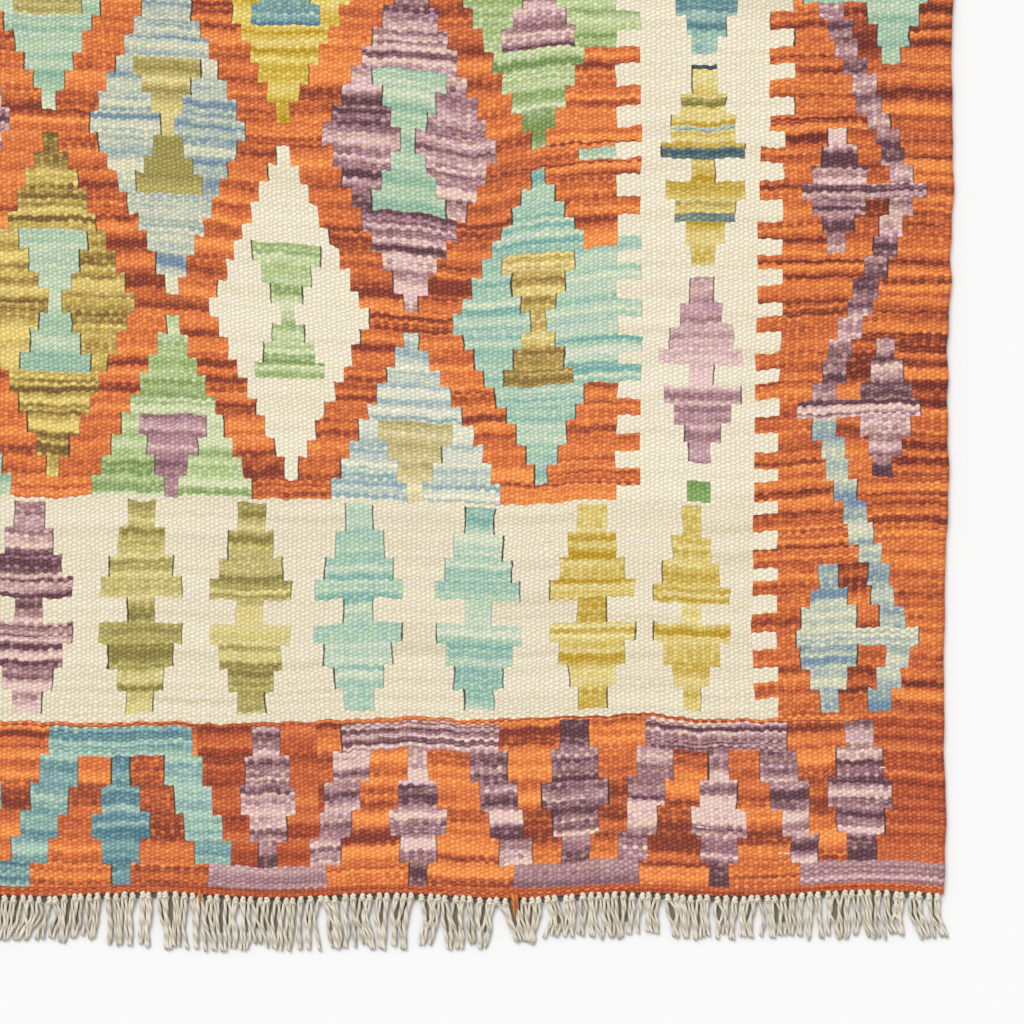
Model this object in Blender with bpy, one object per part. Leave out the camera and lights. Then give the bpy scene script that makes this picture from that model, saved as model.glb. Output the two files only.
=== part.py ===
"""Kilim rug: a flat-woven panel with a knotted warp fringe along both short ends.

Metres, +Z up. X runs across the rug and Y along it. The origin is the centre of the
footprint, both fringes included, on the surface that the rug lies on.
"""

import math
import random

import bmesh
import bpy

# Driving dimensions of the woven panel
RUG_WIDTH = 1.028
RUG_LENGTH = 1.540
PANEL_LENGTH = 1.460
PANEL_THICKNESS = 0.0040
WAIST_DRAW_IN = 0.0072
END_WAVE = 0.0016
END_WAVE_LENGTH = 0.154
END_SWAY = 0.0012
END_SWAY_LENGTH = 0.90
LOOM_WAVE = 0.0004
LOOM_WAVE_ACROSS = 0.31
LOOM_WAVE_ALONG = 0.44
RIM_ROUND = 0.0012
PANEL_COLUMNS = 52
PANEL_ROWS = 16

# Driving dimensions of a fringe: knotted strip, then locks of two or three warp ends
LOCKS_PER_END = 144
LOCK_SEGMENTS = 3
STRIP_GAP = 0.00045
STRIP_DEPTH = 0.0050
STRIP_HEIGHT = 0.0036
LOCK_HEIGHT = 0.0028
LOCK_COVER = 0.80
TIP_COVER = 0.58
TIP_HEIGHT = 0.0018
SWING = 0.0034
SWING_LENGTH = 0.088
RIPPLE = 0.0006
RIPPLE_LENGTH = 0.031
CORNER_FLARE = 0.0040
CORNER_REACH = 0.012
TRIM_DEPTH = 0.0090
TRIM_JITTER = 0.0012
LONG_STRETCH_HALF = 0.125

# Base colours as seen, 0 to 1, and roughness
WOOL_COLOUR = (0.79, 0.45, 0.27)
WOOL_ROUGHNESS = 0.92
COTTON_COLOUR = (0.80, 0.76, 0.68)
COTTON_ROUGHNESS = 0.85

# One row for each end: the side of the origin, the waves' phases and the draw seed
ENDS = {
    "fringe_near": {"side": -1, "wave_at": 0.219, "sway_at": 0.15, "long_at": 0.11, "seed": 4},
    "fringe_far": {"side": 1, "wave_at": -0.135, "sway_at": -0.22, "long_at": -0.20, "seed": 9},
}


def clear_scene():
    for existing in list(bpy.data.objects):
        bpy.data.objects.remove(existing, do_unlink=True)


def linear(channel):
    """One sRGB channel as the linear value that a shader takes."""
    if channel <= 0.04045:
        return channel / 12.92
    return ((channel + 0.055) / 1.055) ** 2.4


def yarn_material(name, colour, roughness):
    material = bpy.data.materials.new(name)
    material.use_nodes = True
    shader = material.node_tree.nodes["Principled BSDF"]
    shader.inputs["Base Color"].default_value = [linear(c) for c in colour] + [1.0]
    shader.inputs["Roughness"].default_value = roughness
    shader.inputs["Metallic"].default_value = 0.0
    return material


def wave(position, start, length):
    """A cosine wave that is 1 at its start and at each length after it."""
    return math.cos(2.0 * math.pi * (position - start) / length)


def side_reach(y):
    """Distance from the rug's centre line to its selvedge, drawn in towards both ends."""
    share = 0.5 * (1.0 - math.cos(math.pi * y / (0.5 * PANEL_LENGTH)))
    return 0.5 * RUG_WIDTH - WAIST_DRAW_IN * share


def end_reach(x, end):
    """Distance from the rug's middle to the panel's wavy end."""
    row = ENDS[end]
    ripple = END_WAVE * wave(x, row["wave_at"], END_WAVE_LENGTH)
    sway = END_SWAY * wave(x, row["sway_at"], END_SWAY_LENGTH)
    return 0.5 * PANEL_LENGTH + ripple + sway


def panel_point(column, row, inset):
    """Plan position of a panel grid point, with the outline drawn in by inset."""
    u = 2.0 * column / PANEL_COLUMNS - 1.0
    v = 2.0 * row / PANEL_ROWS - 1.0
    end = "fringe_far" if v > 0.0 else "fringe_near"
    x = u * (side_reach(v * 0.5 * PANEL_LENGTH) - inset)
    y = v * (end_reach(x, end) - inset)
    return x, y


def panel_top(x, y):
    """Height of the face, which rises and falls a little as the loom left it."""
    across = wave(x, 0.1 * y, LOOM_WAVE_ACROSS)
    along = wave(y, 0.1 * x, LOOM_WAVE_ALONG)
    return PANEL_THICKNESS + LOOM_WAVE * across * along


def panel_border():
    """Grid places around the panel's rim, counter-clockwise from above."""
    near = [(column, 0) for column in range(PANEL_COLUMNS)]
    right = [(PANEL_COLUMNS, row) for row in range(PANEL_ROWS)]
    far = [(column, PANEL_ROWS) for column in range(PANEL_COLUMNS, 0, -1)]
    left = [(0, row) for row in range(PANEL_ROWS, 0, -1)]
    return near + right + far + left


def add_object(name, mesh_builder, material):
    """Finish a bmesh as one named object with its own material."""
    mesh = bpy.data.meshes.new(name)
    bmesh.ops.recalc_face_normals(mesh_builder, faces=mesh_builder.faces)
    mesh_builder.to_mesh(mesh)
    mesh_builder.free()
    mesh.materials.append(material)
    mesh.shade_smooth()
    mesh.set_sharp_from_angle(angle=math.radians(40.0))
    obj = bpy.data.objects.new(name, mesh)
    bpy.context.scene.collection.objects.link(obj)
    return obj


def build_panel(material):
    """The one-piece cloth: an uneven face, a rounded rim and a flat underside."""
    builder = bmesh.new()
    top = {}
    bottom = {}
    for column in range(PANEL_COLUMNS + 1):
        for row in range(PANEL_ROWS + 1):
            x, y = panel_point(column, row, RIM_ROUND)
            top[column, row] = builder.verts.new((x, y, panel_top(x, y)))
            bottom[column, row] = builder.verts.new((x, y, 0.0))
    for column in range(PANEL_COLUMNS):
        for row in range(PANEL_ROWS):
            corners = [(column, row), (column + 1, row), (column + 1, row + 1), (column, row + 1)]
            builder.faces.new([top[place] for place in corners])
            builder.faces.new([bottom[place] for place in reversed(corners)])
    border = panel_border()
    rim = {}
    for place in border:
        x, y = panel_point(*place, 0.0)
        rim[place] = builder.verts.new((x, y, 0.5 * PANEL_THICKNESS))
    for place, following in zip(border, border[1:] + border[:1]):
        builder.faces.new([rim[place], rim[following], top[following], top[place]])
        builder.faces.new([bottom[place], bottom[following], rim[following], rim[place]])
    return add_object("woven_panel", builder, material)


def end_line(end):
    """The panel's rim along one end, as plan points from left to right."""
    row = PANEL_ROWS if ENDS[end]["side"] > 0 else 0
    return [panel_point(column, row, 0.0) for column in range(PANEL_COLUMNS + 1)]


def line_reach(points, x):
    """Distance from the middle to a line of plan points, read at x."""
    for (x0, y0), (x1, y1) in zip(points, points[1:]):
        if x <= x1:
            share = (x - x0) / (x1 - x0)
            return abs(y0 + share * (y1 - y0))
    return abs(points[-1][1])


def trims(centres, end):
    """How far each lock ends short of the rug's full length: none for the longest."""
    row = ENDS[end]
    draw = random.Random(row["seed"])
    cuts = []
    for x in centres:
        stretch = math.exp(-((x - row["long_at"]) / LONG_STRETCH_HALF) ** 4)
        cuts.append(TRIM_DEPTH * (1.0 - stretch) + TRIM_JITTER * draw.random())
    least = min(cuts)
    return [cut - least for cut in cuts]


def swing(x, share, end):
    """Sideways lie of a lock at a share of its length. Neighbours swing together."""
    row = ENDS[end]
    bunch = SWING * wave(x, row["long_at"], SWING_LENGTH)
    ripple = RIPPLE * wave(x, row["wave_at"], RIPPLE_LENGTH)
    edge = side_reach(0.5 * PANEL_LENGTH) - abs(x)
    flare = CORNER_FLARE * math.exp(-edge / CORNER_REACH)
    return (bunch + ripple) * share ** 1.4 + math.copysign(flare, x) * share


def lock_rings(x, half_root, root_reach, tip_reach, end):
    """Plan and height of a lock's three-sided rings, from its root to its cut tip."""
    rings = []
    half_tip = half_root * TIP_COVER / LOCK_COVER
    for step in range(1, LOCK_SEGMENTS + 1):
        share = step / LOCK_SEGMENTS
        centre = x + swing(x, share, end)
        lean = centre - x - swing(x, share - 1.0 / LOCK_SEGMENTS, end)
        run = (tip_reach - root_reach) / LOCK_SEGMENTS
        slant = math.hypot(lean, run)
        half = half_root + (half_tip - half_root) * share
        reach = root_reach + (tip_reach - root_reach) * share
        turn = half * lean / slant if step < LOCK_SEGMENTS else 0.0
        height = LOCK_HEIGHT + (TIP_HEIGHT - LOCK_HEIGHT) * share
        left = (centre - half * run / slant, reach + turn, 0.0)
        right = (centre + half * run / slant, reach - turn, 0.0)
        rings.append((left, right, (centre, reach, height)))
    return rings


def build_fringe(end, material):
    """The knotted strip along one end, with the locks standing out of its outer edge."""
    side = ENDS[end]["side"]
    line = end_line(end)
    left_end = line[0][0] + RIM_ROUND
    right_end = line[-1][0] - RIM_ROUND
    pitch = (right_end - left_end) / LOCKS_PER_END
    half_root = 0.5 * pitch * LOCK_COVER
    centres = [left_end + (index + 0.5) * pitch for index in range(LOCKS_PER_END)]
    cuts = trims(centres, end)
    builder = bmesh.new()

    def vertex(x, reach, z):
        return builder.verts.new((x, side * reach, z))

    inner_top = []
    inner_bottom = []
    ridge = []
    for x in [left_end] + centres + [right_end]:
        inner = line_reach(line, x) + STRIP_GAP
        inner_top.append(vertex(x, inner, STRIP_HEIGHT))
        inner_bottom.append(vertex(x, inner, 0.0))
        ridge.append(vertex(x, inner + STRIP_DEPTH, LOCK_HEIGHT))
    toes = []
    for x in [left_end] + centres + [right_end]:
        outer = line_reach(line, x) + STRIP_GAP + STRIP_DEPTH
        at_end = x in (left_end, right_end)
        offsets = [0.0] if at_end else [-half_root, half_root]
        toes.append([vertex(x + offset, outer, 0.0) for offset in offsets])

    for index in range(LOCKS_PER_END + 1):
        after = index + 1
        heel = toes[index][-1]
        toe = toes[after][0]
        builder.faces.new([inner_top[index], inner_top[after], ridge[after], ridge[index]])
        builder.faces.new([inner_bottom[index], inner_bottom[after], inner_top[after], inner_top[index]])
        builder.faces.new([ridge[index], ridge[after], toe, heel])
        builder.faces.new([inner_bottom[index], heel, toe, inner_bottom[after]])
    for at in (0, -1):
        builder.faces.new([inner_top[at], ridge[at], toes[at][0], inner_bottom[at]])

    for index, (x, cut) in enumerate(zip(centres, cuts), start=1):
        builder.faces.new([inner_bottom[index], toes[index][0], toes[index][1]])
        ring = [toes[index][0], toes[index][1], ridge[index]]
        root_reach = line_reach(line, x) + STRIP_GAP + STRIP_DEPTH
        tip_reach = 0.5 * RUG_LENGTH - cut
        for points in lock_rings(x, half_root, root_reach, tip_reach, end):
            following = [vertex(*point) for point in points]
            for near in range(3):
                far = (near + 1) % 3
                builder.faces.new([ring[near], ring[far], following[far], following[near]])
            ring = following
        builder.faces.new(ring)
    return add_object(end, builder, material)


def build():
    clear_scene()
    wool = yarn_material("wool_weave", WOOL_COLOUR, WOOL_ROUGHNESS)
    build_panel(wool)
    for end in ENDS:
        cotton = yarn_material(end + "_cotton", COTTON_COLOUR, COTTON_ROUGHNESS)
        build_fringe(end, cotton)


build()
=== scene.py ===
"""Looks of the kilim rug: its charted weave, rounded selvedges, knots and fringe strands.

Metres, +Z up. X runs across the rug and Y along it, with the near end at -Y. The weave is
charted in warps from the centre line and in picks (weft rows) from the near end.
"""

import math
import random

import bpy
import numpy as np
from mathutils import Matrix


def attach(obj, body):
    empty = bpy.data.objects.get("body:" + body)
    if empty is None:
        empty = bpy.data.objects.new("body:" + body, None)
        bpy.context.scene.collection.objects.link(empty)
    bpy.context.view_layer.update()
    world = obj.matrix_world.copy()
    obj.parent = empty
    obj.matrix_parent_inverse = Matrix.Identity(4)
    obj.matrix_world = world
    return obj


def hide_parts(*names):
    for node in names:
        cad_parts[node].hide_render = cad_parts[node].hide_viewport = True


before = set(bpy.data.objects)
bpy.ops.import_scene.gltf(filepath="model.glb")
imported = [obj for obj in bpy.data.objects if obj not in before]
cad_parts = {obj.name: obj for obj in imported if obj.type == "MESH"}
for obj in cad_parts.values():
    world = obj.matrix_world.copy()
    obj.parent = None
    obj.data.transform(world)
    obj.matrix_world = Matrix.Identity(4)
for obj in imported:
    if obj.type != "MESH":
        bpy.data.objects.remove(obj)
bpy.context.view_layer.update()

# ---------------------------------------------------------------- sizes of the solids
RUG_WIDTH = 1.028
RUG_LENGTH = 1.540
PANEL_LENGTH = 1.460
PANEL_THICKNESS = 0.0040
WAIST_DRAW_IN = 0.0072
END_WAVE = 0.0016
END_WAVE_LENGTH = 0.154
END_SWAY = 0.0012
END_SWAY_LENGTH = 0.90
LOOM_WAVE = 0.0004
LOOM_WAVE_ACROSS = 0.31
LOOM_WAVE_ALONG = 0.44
LOOM_SKEW = 0.1         # how much each of these waves shifts over the other's direction
ENDS = {
    -1: {"wave_at": 0.219, "sway_at": 0.15, "long_at": 0.11},
    1: {"wave_at": -0.135, "sway_at": -0.22, "long_at": -0.20},
}

# ---------------------------------------------------------------- sizes of the weave
HALF_WARPS = 164
PICKS = 1020
COURSE = 9
END_DEPTH = 81          # picks of the patterned end border
FIELD_START = 181       # first pick of the field
FIELD_COURSES = 73
FIELD_STOP = FIELD_START + COURSE * FIELD_COURSES
FIELD_EDGE = 94         # warps from the centre line to the field comb's recess
FIELD_TOOTH = 99
OUTER_TOOTH = 123
OUTER_RECESS = 128
WIDEST_COLUMN = 4       # warps in the widest grid column
TALLEST_ROW = 7         # picks in the tallest grid row
NEAREST_COLUMNS = 1     # warps, and picks, below which two block edges share a grid line
NEAREST_ROWS = 2
SELVEDGE_WARPS = 2      # doubled warps along each selvedge

# Photo scale, used by the camera and by what is placed along the near end
PHOTO_SCALE = 0.000655
PHOTO_CENTRE_LINE = 171.0
PHOTO_END_LINE = 894.5
PHOTO_SIDE = 1024

# Seeds of what varies at random. Where there are several layers, each one adds its number
SEEDS = {
    "drift_across": 3, "drift_along": 4, "uneven_across": 20, "uneven_along": 30, "selvedge": 50,
    "bobbins": 17, "slits": 21, "cloth": 8, "fringe": 40, "clumps": 500,
}

# ---------------------------------------------------------------- yarns
# Each yarn: light, middle and dark dye as seen, and how strongly the dye is streaked
LIGHT, MIDDLE, DARK, STREAKED = range(4)
YARNS = {
    "cream": ((245, 238, 217), (240, 230, 205), (221, 209, 179), 0.35),
    "ecru": ((241, 233, 210), (235, 224, 198), (214, 201, 170), 0.45),
    "orange": ((249, 158, 86), (219, 119, 68), (138, 66, 50), 1.00),
    "russet": ((244, 152, 80), (209, 110, 64), (120, 56, 44), 1.05),
    "rust": ((228, 132, 78), (188, 90, 56), (116, 54, 42), 0.80),
    "purple": ((236, 204, 194), (180, 138, 142), (102, 68, 76), 1.25),
    "mauve": ((236, 206, 200), (196, 156, 160), (134, 94, 104), 0.85),
    "plum": ((228, 192, 186), (188, 148, 151), (138, 102, 110), 0.75),
    "mint": ((222, 226, 197), (182, 205, 176), (138, 180, 158), 0.75),
    "teal": ((220, 225, 201), (182, 208, 184), (124, 176, 168), 0.85),
    "blue": ((230, 224, 194), (188, 197, 180), (122, 147, 166), 1.05),
    "pale_blue": ((246, 237, 214), (208, 215, 197), (144, 171, 180), 0.90),
    "deep_blue": ((182, 208, 190), (130, 166, 164), (84, 124, 141), 1.00),
    "olive": ((226, 211, 147), (188, 175, 108), (142, 130, 70), 0.95),
    "moss": ((192, 178, 108), (169, 156, 90), (146, 133, 72), 0.60),
    "khaki": ((234, 210, 128), (194, 167, 92), (128, 98, 56), 1.20),
    "ochre": ((238, 220, 150), (202, 173, 101), (146, 118, 66), 1.00),
    "tan": ((233, 217, 154), (204, 188, 121), (160, 145, 84), 0.80),
    "straw": ((242, 231, 190), (214, 200, 148), (174, 160, 106), 0.80),
    "yellow": ((238, 224, 162), (221, 198, 118), (192, 154, 40), 0.95),
    "green": ((220, 226, 184), (181, 199, 142), (130, 152, 92), 1.05),
    "leaf": ((160, 188, 122), (132, 164, 98), (106, 140, 80), 0.60),
    "navy": ((158, 166, 136), (104, 126, 124), (66, 86, 94), 1.00),
    "gold": ((238, 220, 138), (222, 192, 88), (188, 148, 28), 0.95),
}
YARN_ORDER = list(YARNS)
# Painted shade: the dark seen down in a slit's gap
SLIT_SHADE_COLOUR = (66, 56, 42)
COTTON = ((250, 243, 228), (228, 218, 199), (182, 172, 153))   # light, middle and dark


def linear(colour):
    """An sRGB colour of 0 to 255 as the linear RGBA that a shader takes."""
    parts = []
    for channel in colour:
        share = channel / 255.0
        parts.append(share / 12.92 if share <= 0.04045 else ((share + 0.055) / 1.055) ** 2.4)
    return (*parts, 1.0)


# ---------------------------------------------------------------- outline of the panel
def wave(position, start, length):
    return np.cos(2.0 * np.pi * (position - start) / length)


def side_reach(y):
    share = 0.5 * (1.0 - np.cos(np.pi * y / (0.5 * PANEL_LENGTH)))
    return 0.5 * RUG_WIDTH - WAIST_DRAW_IN * share


def end_reach(x, side):
    row = ENDS[side]
    ripple = END_WAVE * wave(x, row["wave_at"], END_WAVE_LENGTH)
    sway = END_SWAY * wave(x, row["sway_at"], END_SWAY_LENGTH)
    return 0.5 * PANEL_LENGTH + ripple + sway


def panel_top(x, y):
    across = wave(x, LOOM_SKEW * y, LOOM_WAVE_ACROSS)
    along = wave(y, LOOM_SKEW * x, LOOM_WAVE_ALONG)
    return PANEL_THICKNESS + LOOM_WAVE * across * along


# ---------------------------------------------------------------- the chart
class Chart:
    """The weave as blocks painted over one another, then read off on a grid of their edges."""

    def __init__(self):
        self.blocks = []

    def block(self, warps, picks, yarn):
        low, high = sorted(warps)
        start, stop = sorted(picks)
        self.blocks.append((round(low), round(high), round(start), round(stop), yarn))

    def edges(self, first, second, low, high, widest, nearest):
        """Sorted grid lines: every block edge, with close ones merged and wide gaps filled."""
        found = sorted({low, high} | {block[at] for block in self.blocks for at in (first, second)})
        lines = [low]
        for line in found:
            if low < line < high and line - lines[-1] >= nearest and high - line >= nearest:
                lines.append(line)
        lines.append(high)
        filled = [low]
        for line in lines[1:]:
            parts = math.ceil((line - filled[-1]) / widest)
            start = filled[-1]
            filled += [start + (line - start) * part / parts for part in range(1, parts + 1)]
        return np.array(filled, dtype=float)

    def grid(self):
        """Grid lines across and along, and the yarn's number in each of their cells."""
        columns = self.edges(0, 1, -HALF_WARPS, HALF_WARPS, WIDEST_COLUMN, NEAREST_COLUMNS)
        rows = self.edges(2, 3, 0, PICKS, TALLEST_ROW, NEAREST_ROWS)
        yarn = np.zeros((len(rows) - 1, len(columns) - 1), dtype=int)
        for low, high, start, stop, name in self.blocks:
            left, right = (int(np.abs(columns - at).argmin()) for at in (low, high))
            bottom, top = (int(np.abs(rows - at).argmin()) for at in (start, stop))
            yarn[bottom:top, left:right] = YARN_ORDER.index(name)
        return columns, rows, yarn


chart = Chart()


class Quarter:
    """Paints blocks charted for the near right quarter, mirrored onto any quarter."""

    def __init__(self, across=1, along=1):
        self.across = across
        self.along = along

    def block(self, warps, picks, yarn):
        low, high = (self.across * at for at in warps)
        start, stop = (at if self.along > 0 else PICKS - at for at in picks)
        chart.block((low, high), (start, stop), yarn)


QUARTERS = [Quarter(across, along) for across in (1, -1) for along in (1, -1)]


# ---- grounds and combs. A few teeth were woven some picks early, or late where it is negative
TOOTH_PICKS = 8
MIDDLE_PICK = PICKS // 2


def comb_teeth(first, pitch, early):
    """The pick at which each tooth starts, from the near end to the middle."""
    count = math.ceil((MIDDLE_PICK - TOOTH_PICKS - first) / pitch)
    return [round(first + pitch * tooth) - early.get(tooth, 0) for tooth in range(count)]


FIELD_EARLY = {4: 3, 5: 1, 6: 1, 7: 3, 8: 1, 10: 2, 12: -2, 13: -2}
OUTER_EARLY = {3: -2, 10: 1, 12: 2, 13: 3, 14: 3}
FIELD_TEETH = comb_teeth(first=187, pitch=15.9, early=FIELD_EARLY)
OUTER_TEETH = comb_teeth(first=89, pitch=15.35, early=OUTER_EARLY)
OUTER_STEP_PICK = 340   # past it the outer comb stands two warps further out
OUTER_STEP = 2


def paint_grounds():
    """Russet outer border, cream inner border, a shade deeper at the ends, and orange field."""
    chart.block((-HALF_WARPS, HALF_WARPS), (0, PICKS), "russet")
    chart.block((-OUTER_TOOTH, OUTER_TOOTH), (END_DEPTH, PICKS - END_DEPTH), "ecru")
    chart.block((-OUTER_TOOTH, OUTER_TOOTH), (FIELD_START, FIELD_STOP), "cream")
    chart.block((-FIELD_EDGE, FIELD_EDGE), (FIELD_START, FIELD_STOP), "orange")


def paint_combs():
    for quarter in QUARTERS:
        for start in FIELD_TEETH:
            stop = min(start + TOOTH_PICKS, MIDDLE_PICK)
            quarter.block((FIELD_EDGE, FIELD_TOOTH), (start, stop), "orange")
        for start, following in zip(OUTER_TEETH, OUTER_TEETH[1:] + [MIDDLE_PICK]):
            step = OUTER_STEP if start > OUTER_STEP_PICK else 0
            stop = min(start + TOOTH_PICKS, MIDDLE_PICK)
            quarter.block((OUTER_TOOTH, OUTER_TOOTH + step), (start, stop), "cream")
            quarter.block((OUTER_TOOTH, OUTER_RECESS + step), (stop, following), "cream")
        quarter.block((OUTER_TOOTH, OUTER_RECESS), (END_DEPTH, OUTER_TEETH[0]), "ecru")


# ---- the field: a lattice of diamonds
LATTICE_WARPS = 26
LATTICE_COURSES = 9
DIAMOND_COURSES = 8
HOURGLASS_COURSES = 3
STEP_WARPS = 2          # warps by which a diamond's edge steps in or out from course to course
COMB_COLUMN = 3         # lattice columns, left and right, whose diamonds run into the combs
# The lattice's rows from the near end, and their diamonds from the left: the yarn of the ground and
# of the hourglass, or two where the hourglass's upper and lower half differ
DIAMOND_ROWS = (
    (("mint", "purple"), ("green", "mauve"), ("pale_blue", "straw")),
    (("green", "tan"), ("khaki", "mint"), ("cream", "green"), ("teal", "ochre")),
    (("purple", "green"), ("blue", "tan", "moss"), ("purple", "mint")),
    (("blue", "yellow"), ("mint", "tan", "olive"), ("gold", "deep_blue"), ("green", "purple")),
    (("cream", "purple"), ("khaki", "mint"), ("blue", "mauve")),
    (("yellow", "green", "olive"), ("purple", "mint"), ("green", "tan"), ("mint", "olive")),
    (("teal", "khaki"), ("cream", "deep_blue"), ("yellow", "purple", "mauve")),
    (("purple", "pale_blue", "blue"), ("green", "mauve"), ("blue", "olive", "tan"), ("khaki", "teal")),
    (("olive", "mint"), ("mint", "purple"), ("purple", "tan")),
)
# By column and row: diamonds woven early, in picks, and with shorter courses past the hourglass
EARLY_PICKS = {(3, 3): 8}
SHORT_COURSES = {(3, 1): 7.5}
# How many picks below and above its hourglass a diamond still recolours the comb's teeth
BELOW_HOURGLASS = 3
ABOVE_HOURGLASS = 5
COMB_BAR_WARPS = (86, FIELD_EDGE)   # a mint bar that joins the comb
COMB_BAR_PICKS = (337, 343)


def paint_diamond(column, row, ground, upper, lower=None):
    """A stepped diamond with an hourglass inside, cut off by the field's ends and combs."""
    middle = column * LATTICE_WARPS
    centre_course = row * LATTICE_COURSES
    first_pick = FIELD_START + COURSE * centre_course - EARLY_PICKS.get((column, row), 0)
    far_course = SHORT_COURSES.get((column, row), COURSE)
    by_comb = abs(column) == COMB_COLUMN

    def level(step):
        past = max(step - HOURGLASS_COURSES - 1, 0)
        return first_pick + COURSE * (step - past) + far_course * past

    for step in range(-DIAMOND_COURSES, DIAMOND_COURSES + 1):
        if not 0 <= centre_course + step < FIELD_COURSES:
            continue
        picks = (level(step), level(step + 1))
        reach = STEP_WARPS * (DIAMOND_COURSES + 1 - abs(step))
        low, high = middle - reach, middle + reach - 1
        if by_comb and abs(step) <= HOURGLASS_COURSES:
            edge = math.copysign(FIELD_EDGE, column)
            low, high = min(low, edge), max(high, edge)
        chart.block((max(low, -FIELD_EDGE), min(high, FIELD_EDGE)), picks, ground)
        if abs(step) <= HOURGLASS_COURSES:
            reach = STEP_WARPS * (abs(step) + 1)
            yarn = upper if step > -1 or lower is None else lower
            chart.block((middle - reach, middle + reach - 1), picks, yarn)
    if by_comb:
        centre_pick = first_pick + 0.5 * COURSE
        reach = (HOURGLASS_COURSES + 0.5) * COURSE
        paint_comb_teeth(column, centre_pick - reach, centre_pick + reach, ground)


def paint_comb_teeth(column, low_pick, high_pick, yarn):
    """Recolour the field comb's teeth that a diamond runs into."""
    warps = [math.copysign(at, column) for at in (FIELD_EDGE, FIELD_TOOTH)]
    for tooth in FIELD_TEETH:
        for start in (tooth, PICKS - tooth - TOOTH_PICKS):
            stop = start + TOOTH_PICKS
            if low_pick - BELOW_HOURGLASS <= start and stop <= high_pick + ABOVE_HOURGLASS:
                chart.block(warps, (start, stop), yarn)


def paint_field():
    for row, diamonds in enumerate(DIAMOND_ROWS):
        for place, yarns in enumerate(diamonds):
            paint_diamond(2 * place - len(diamonds) + 1, row, *yarns)
    for quarter in QUARTERS:
        quarter.block(COMB_BAR_WARPS, COMB_BAR_PICKS, "mint")


# ---- spindles. One row for each step: height in picks, half-width in warps
SPINDLE_STEPS = ((11, 3), (10, 5), (9, 7), (8, 9), (9, 3), (9, 9), (9, 7), (9, 5), (9, 3))
SLIM_STEPS = ((14, 2), (11, 4), (10, 6), (9, 8), (9, 2), (9, 8), (9, 6), (10, 4), (11, 2))
SIDE_STEPS = (
    (12, 2.5), (10, 4.5), (11, 6.5), (7.5, 8.5), (9.5, 2.5), (8, 8), (10, 6), (8.5, 4), (8, 2.5),
)
THINNEST_STRIPE = 1     # picks


def paint_spindle(centre, top, bottom, yarn, steps=SPINDLE_STEPS, stripes=()):
    """A spindle from its top pick down. Stripes: yarn, first and last pick below the top."""
    scale = (top - bottom) / sum(height for height, _ in steps)
    pick = top
    for height, half in steps:
        below = pick - height * scale
        chart.block((centre - half, centre + half), (below, pick), yarn)
        for other, first, last in stripes:
            high, low = min(pick, top - first), max(below, top - last)
            if high - low > THINNEST_STRIPE:
                chart.block((centre - half, centre + half), (low, high), other)
        pick = below


# One row for each spindle of an end border: centre, its yarns at the near and far end
SLIM_CENTRE = 110       # the outermost spindles are slim
END_SPINDLES = (
    (-SLIM_CENTRE, "blue", "olive"), (-82, "green", "teal"), (-56, "purple", "khaki"),
    (-31, "purple", "yellow"), (-7, "olive", "green"), (17, "olive", "purple"),
    (40, "teal", "mint"), (65, "teal", "blue"), (89, "yellow", "purple"),
    (SLIM_CENTRE, "yellow", "olive"),
)
END_SPINDLE_TOP = 178
END_SPINDLE_BOTTOM = 84
# One row for each spindle of a side border: top and bottom pick, its yarns on the right and left
SIDE_SPINDLES = (
    (283, 199, "mauve", "green"), (380, 290, "yellow", "teal"), (473, 385, "deep_blue", "olive"),
    (564, 479, "green", "purple"), (655, 570, "mauve", "blue"), (745, 661, "olive", "yellow"),
    (833, 751, "teal", "mauve"),
)
SIDE_SPINDLE_CENTRE = 111.5
# Stripes of the yellow spindles on the right: yarn, first and last pick below the top
YELLOW_STRIPES = (
    ("navy", 0, 2), ("olive", 15, 18), ("blue", 27, 30), ("navy", 37, 42), ("olive", 61, 63),
    ("navy", 68, 71),
)
LEAF_WARPS = (109, 114)  # a green patch where the two borders' spindles meet
LEAF_PICKS = (180, 190)


def paint_spindles():
    for centre, near_yarn, far_yarn in END_SPINDLES:
        steps = SLIM_STEPS if abs(centre) == SLIM_CENTRE else SPINDLE_STEPS
        paint_spindle(centre, END_SPINDLE_TOP, END_SPINDLE_BOTTOM, near_yarn, steps)
        top, bottom = PICKS - END_SPINDLE_BOTTOM, PICKS - END_SPINDLE_TOP
        paint_spindle(centre, top, bottom, far_yarn, steps)
    for top, bottom, right_yarn, left_yarn in SIDE_SPINDLES:
        stripes = YELLOW_STRIPES if right_yarn == "yellow" else ()
        paint_spindle(SIDE_SPINDLE_CENTRE, top, bottom, right_yarn, SIDE_STEPS, stripes)
        paint_spindle(-SIDE_SPINDLE_CENTRE, top, bottom, left_yarn, SIDE_STEPS)
    chart.block(LEAF_WARPS, LEAF_PICKS, "leaf")


# ---- zigzag ribbon of each side border, its crossbars and the small diamonds beside them
RIBBON_INNER = 134
RIBBON_OUTER = 151
RIBBON_WARPS = 5
RIBBON_STEPS = 10       # steps between two crossbars
RIBBON_START = 83
FIRST_STEPS = (147, 149, 151)   # warps of the few steps before the first crossbar
# Warps of a small diamond's steps, from the crossbar outwards: near the ribbon's outer turns, the
# same woven wider, and near its inner turns
BY_OUTER_TURN = ((134, 145), (136, 143), (137, 141))
WIDER = ((133, 145), (135, 143), (137, 141))
BY_INNER_TURN = ((145, 156), (147, 154), (148, 152))
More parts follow.
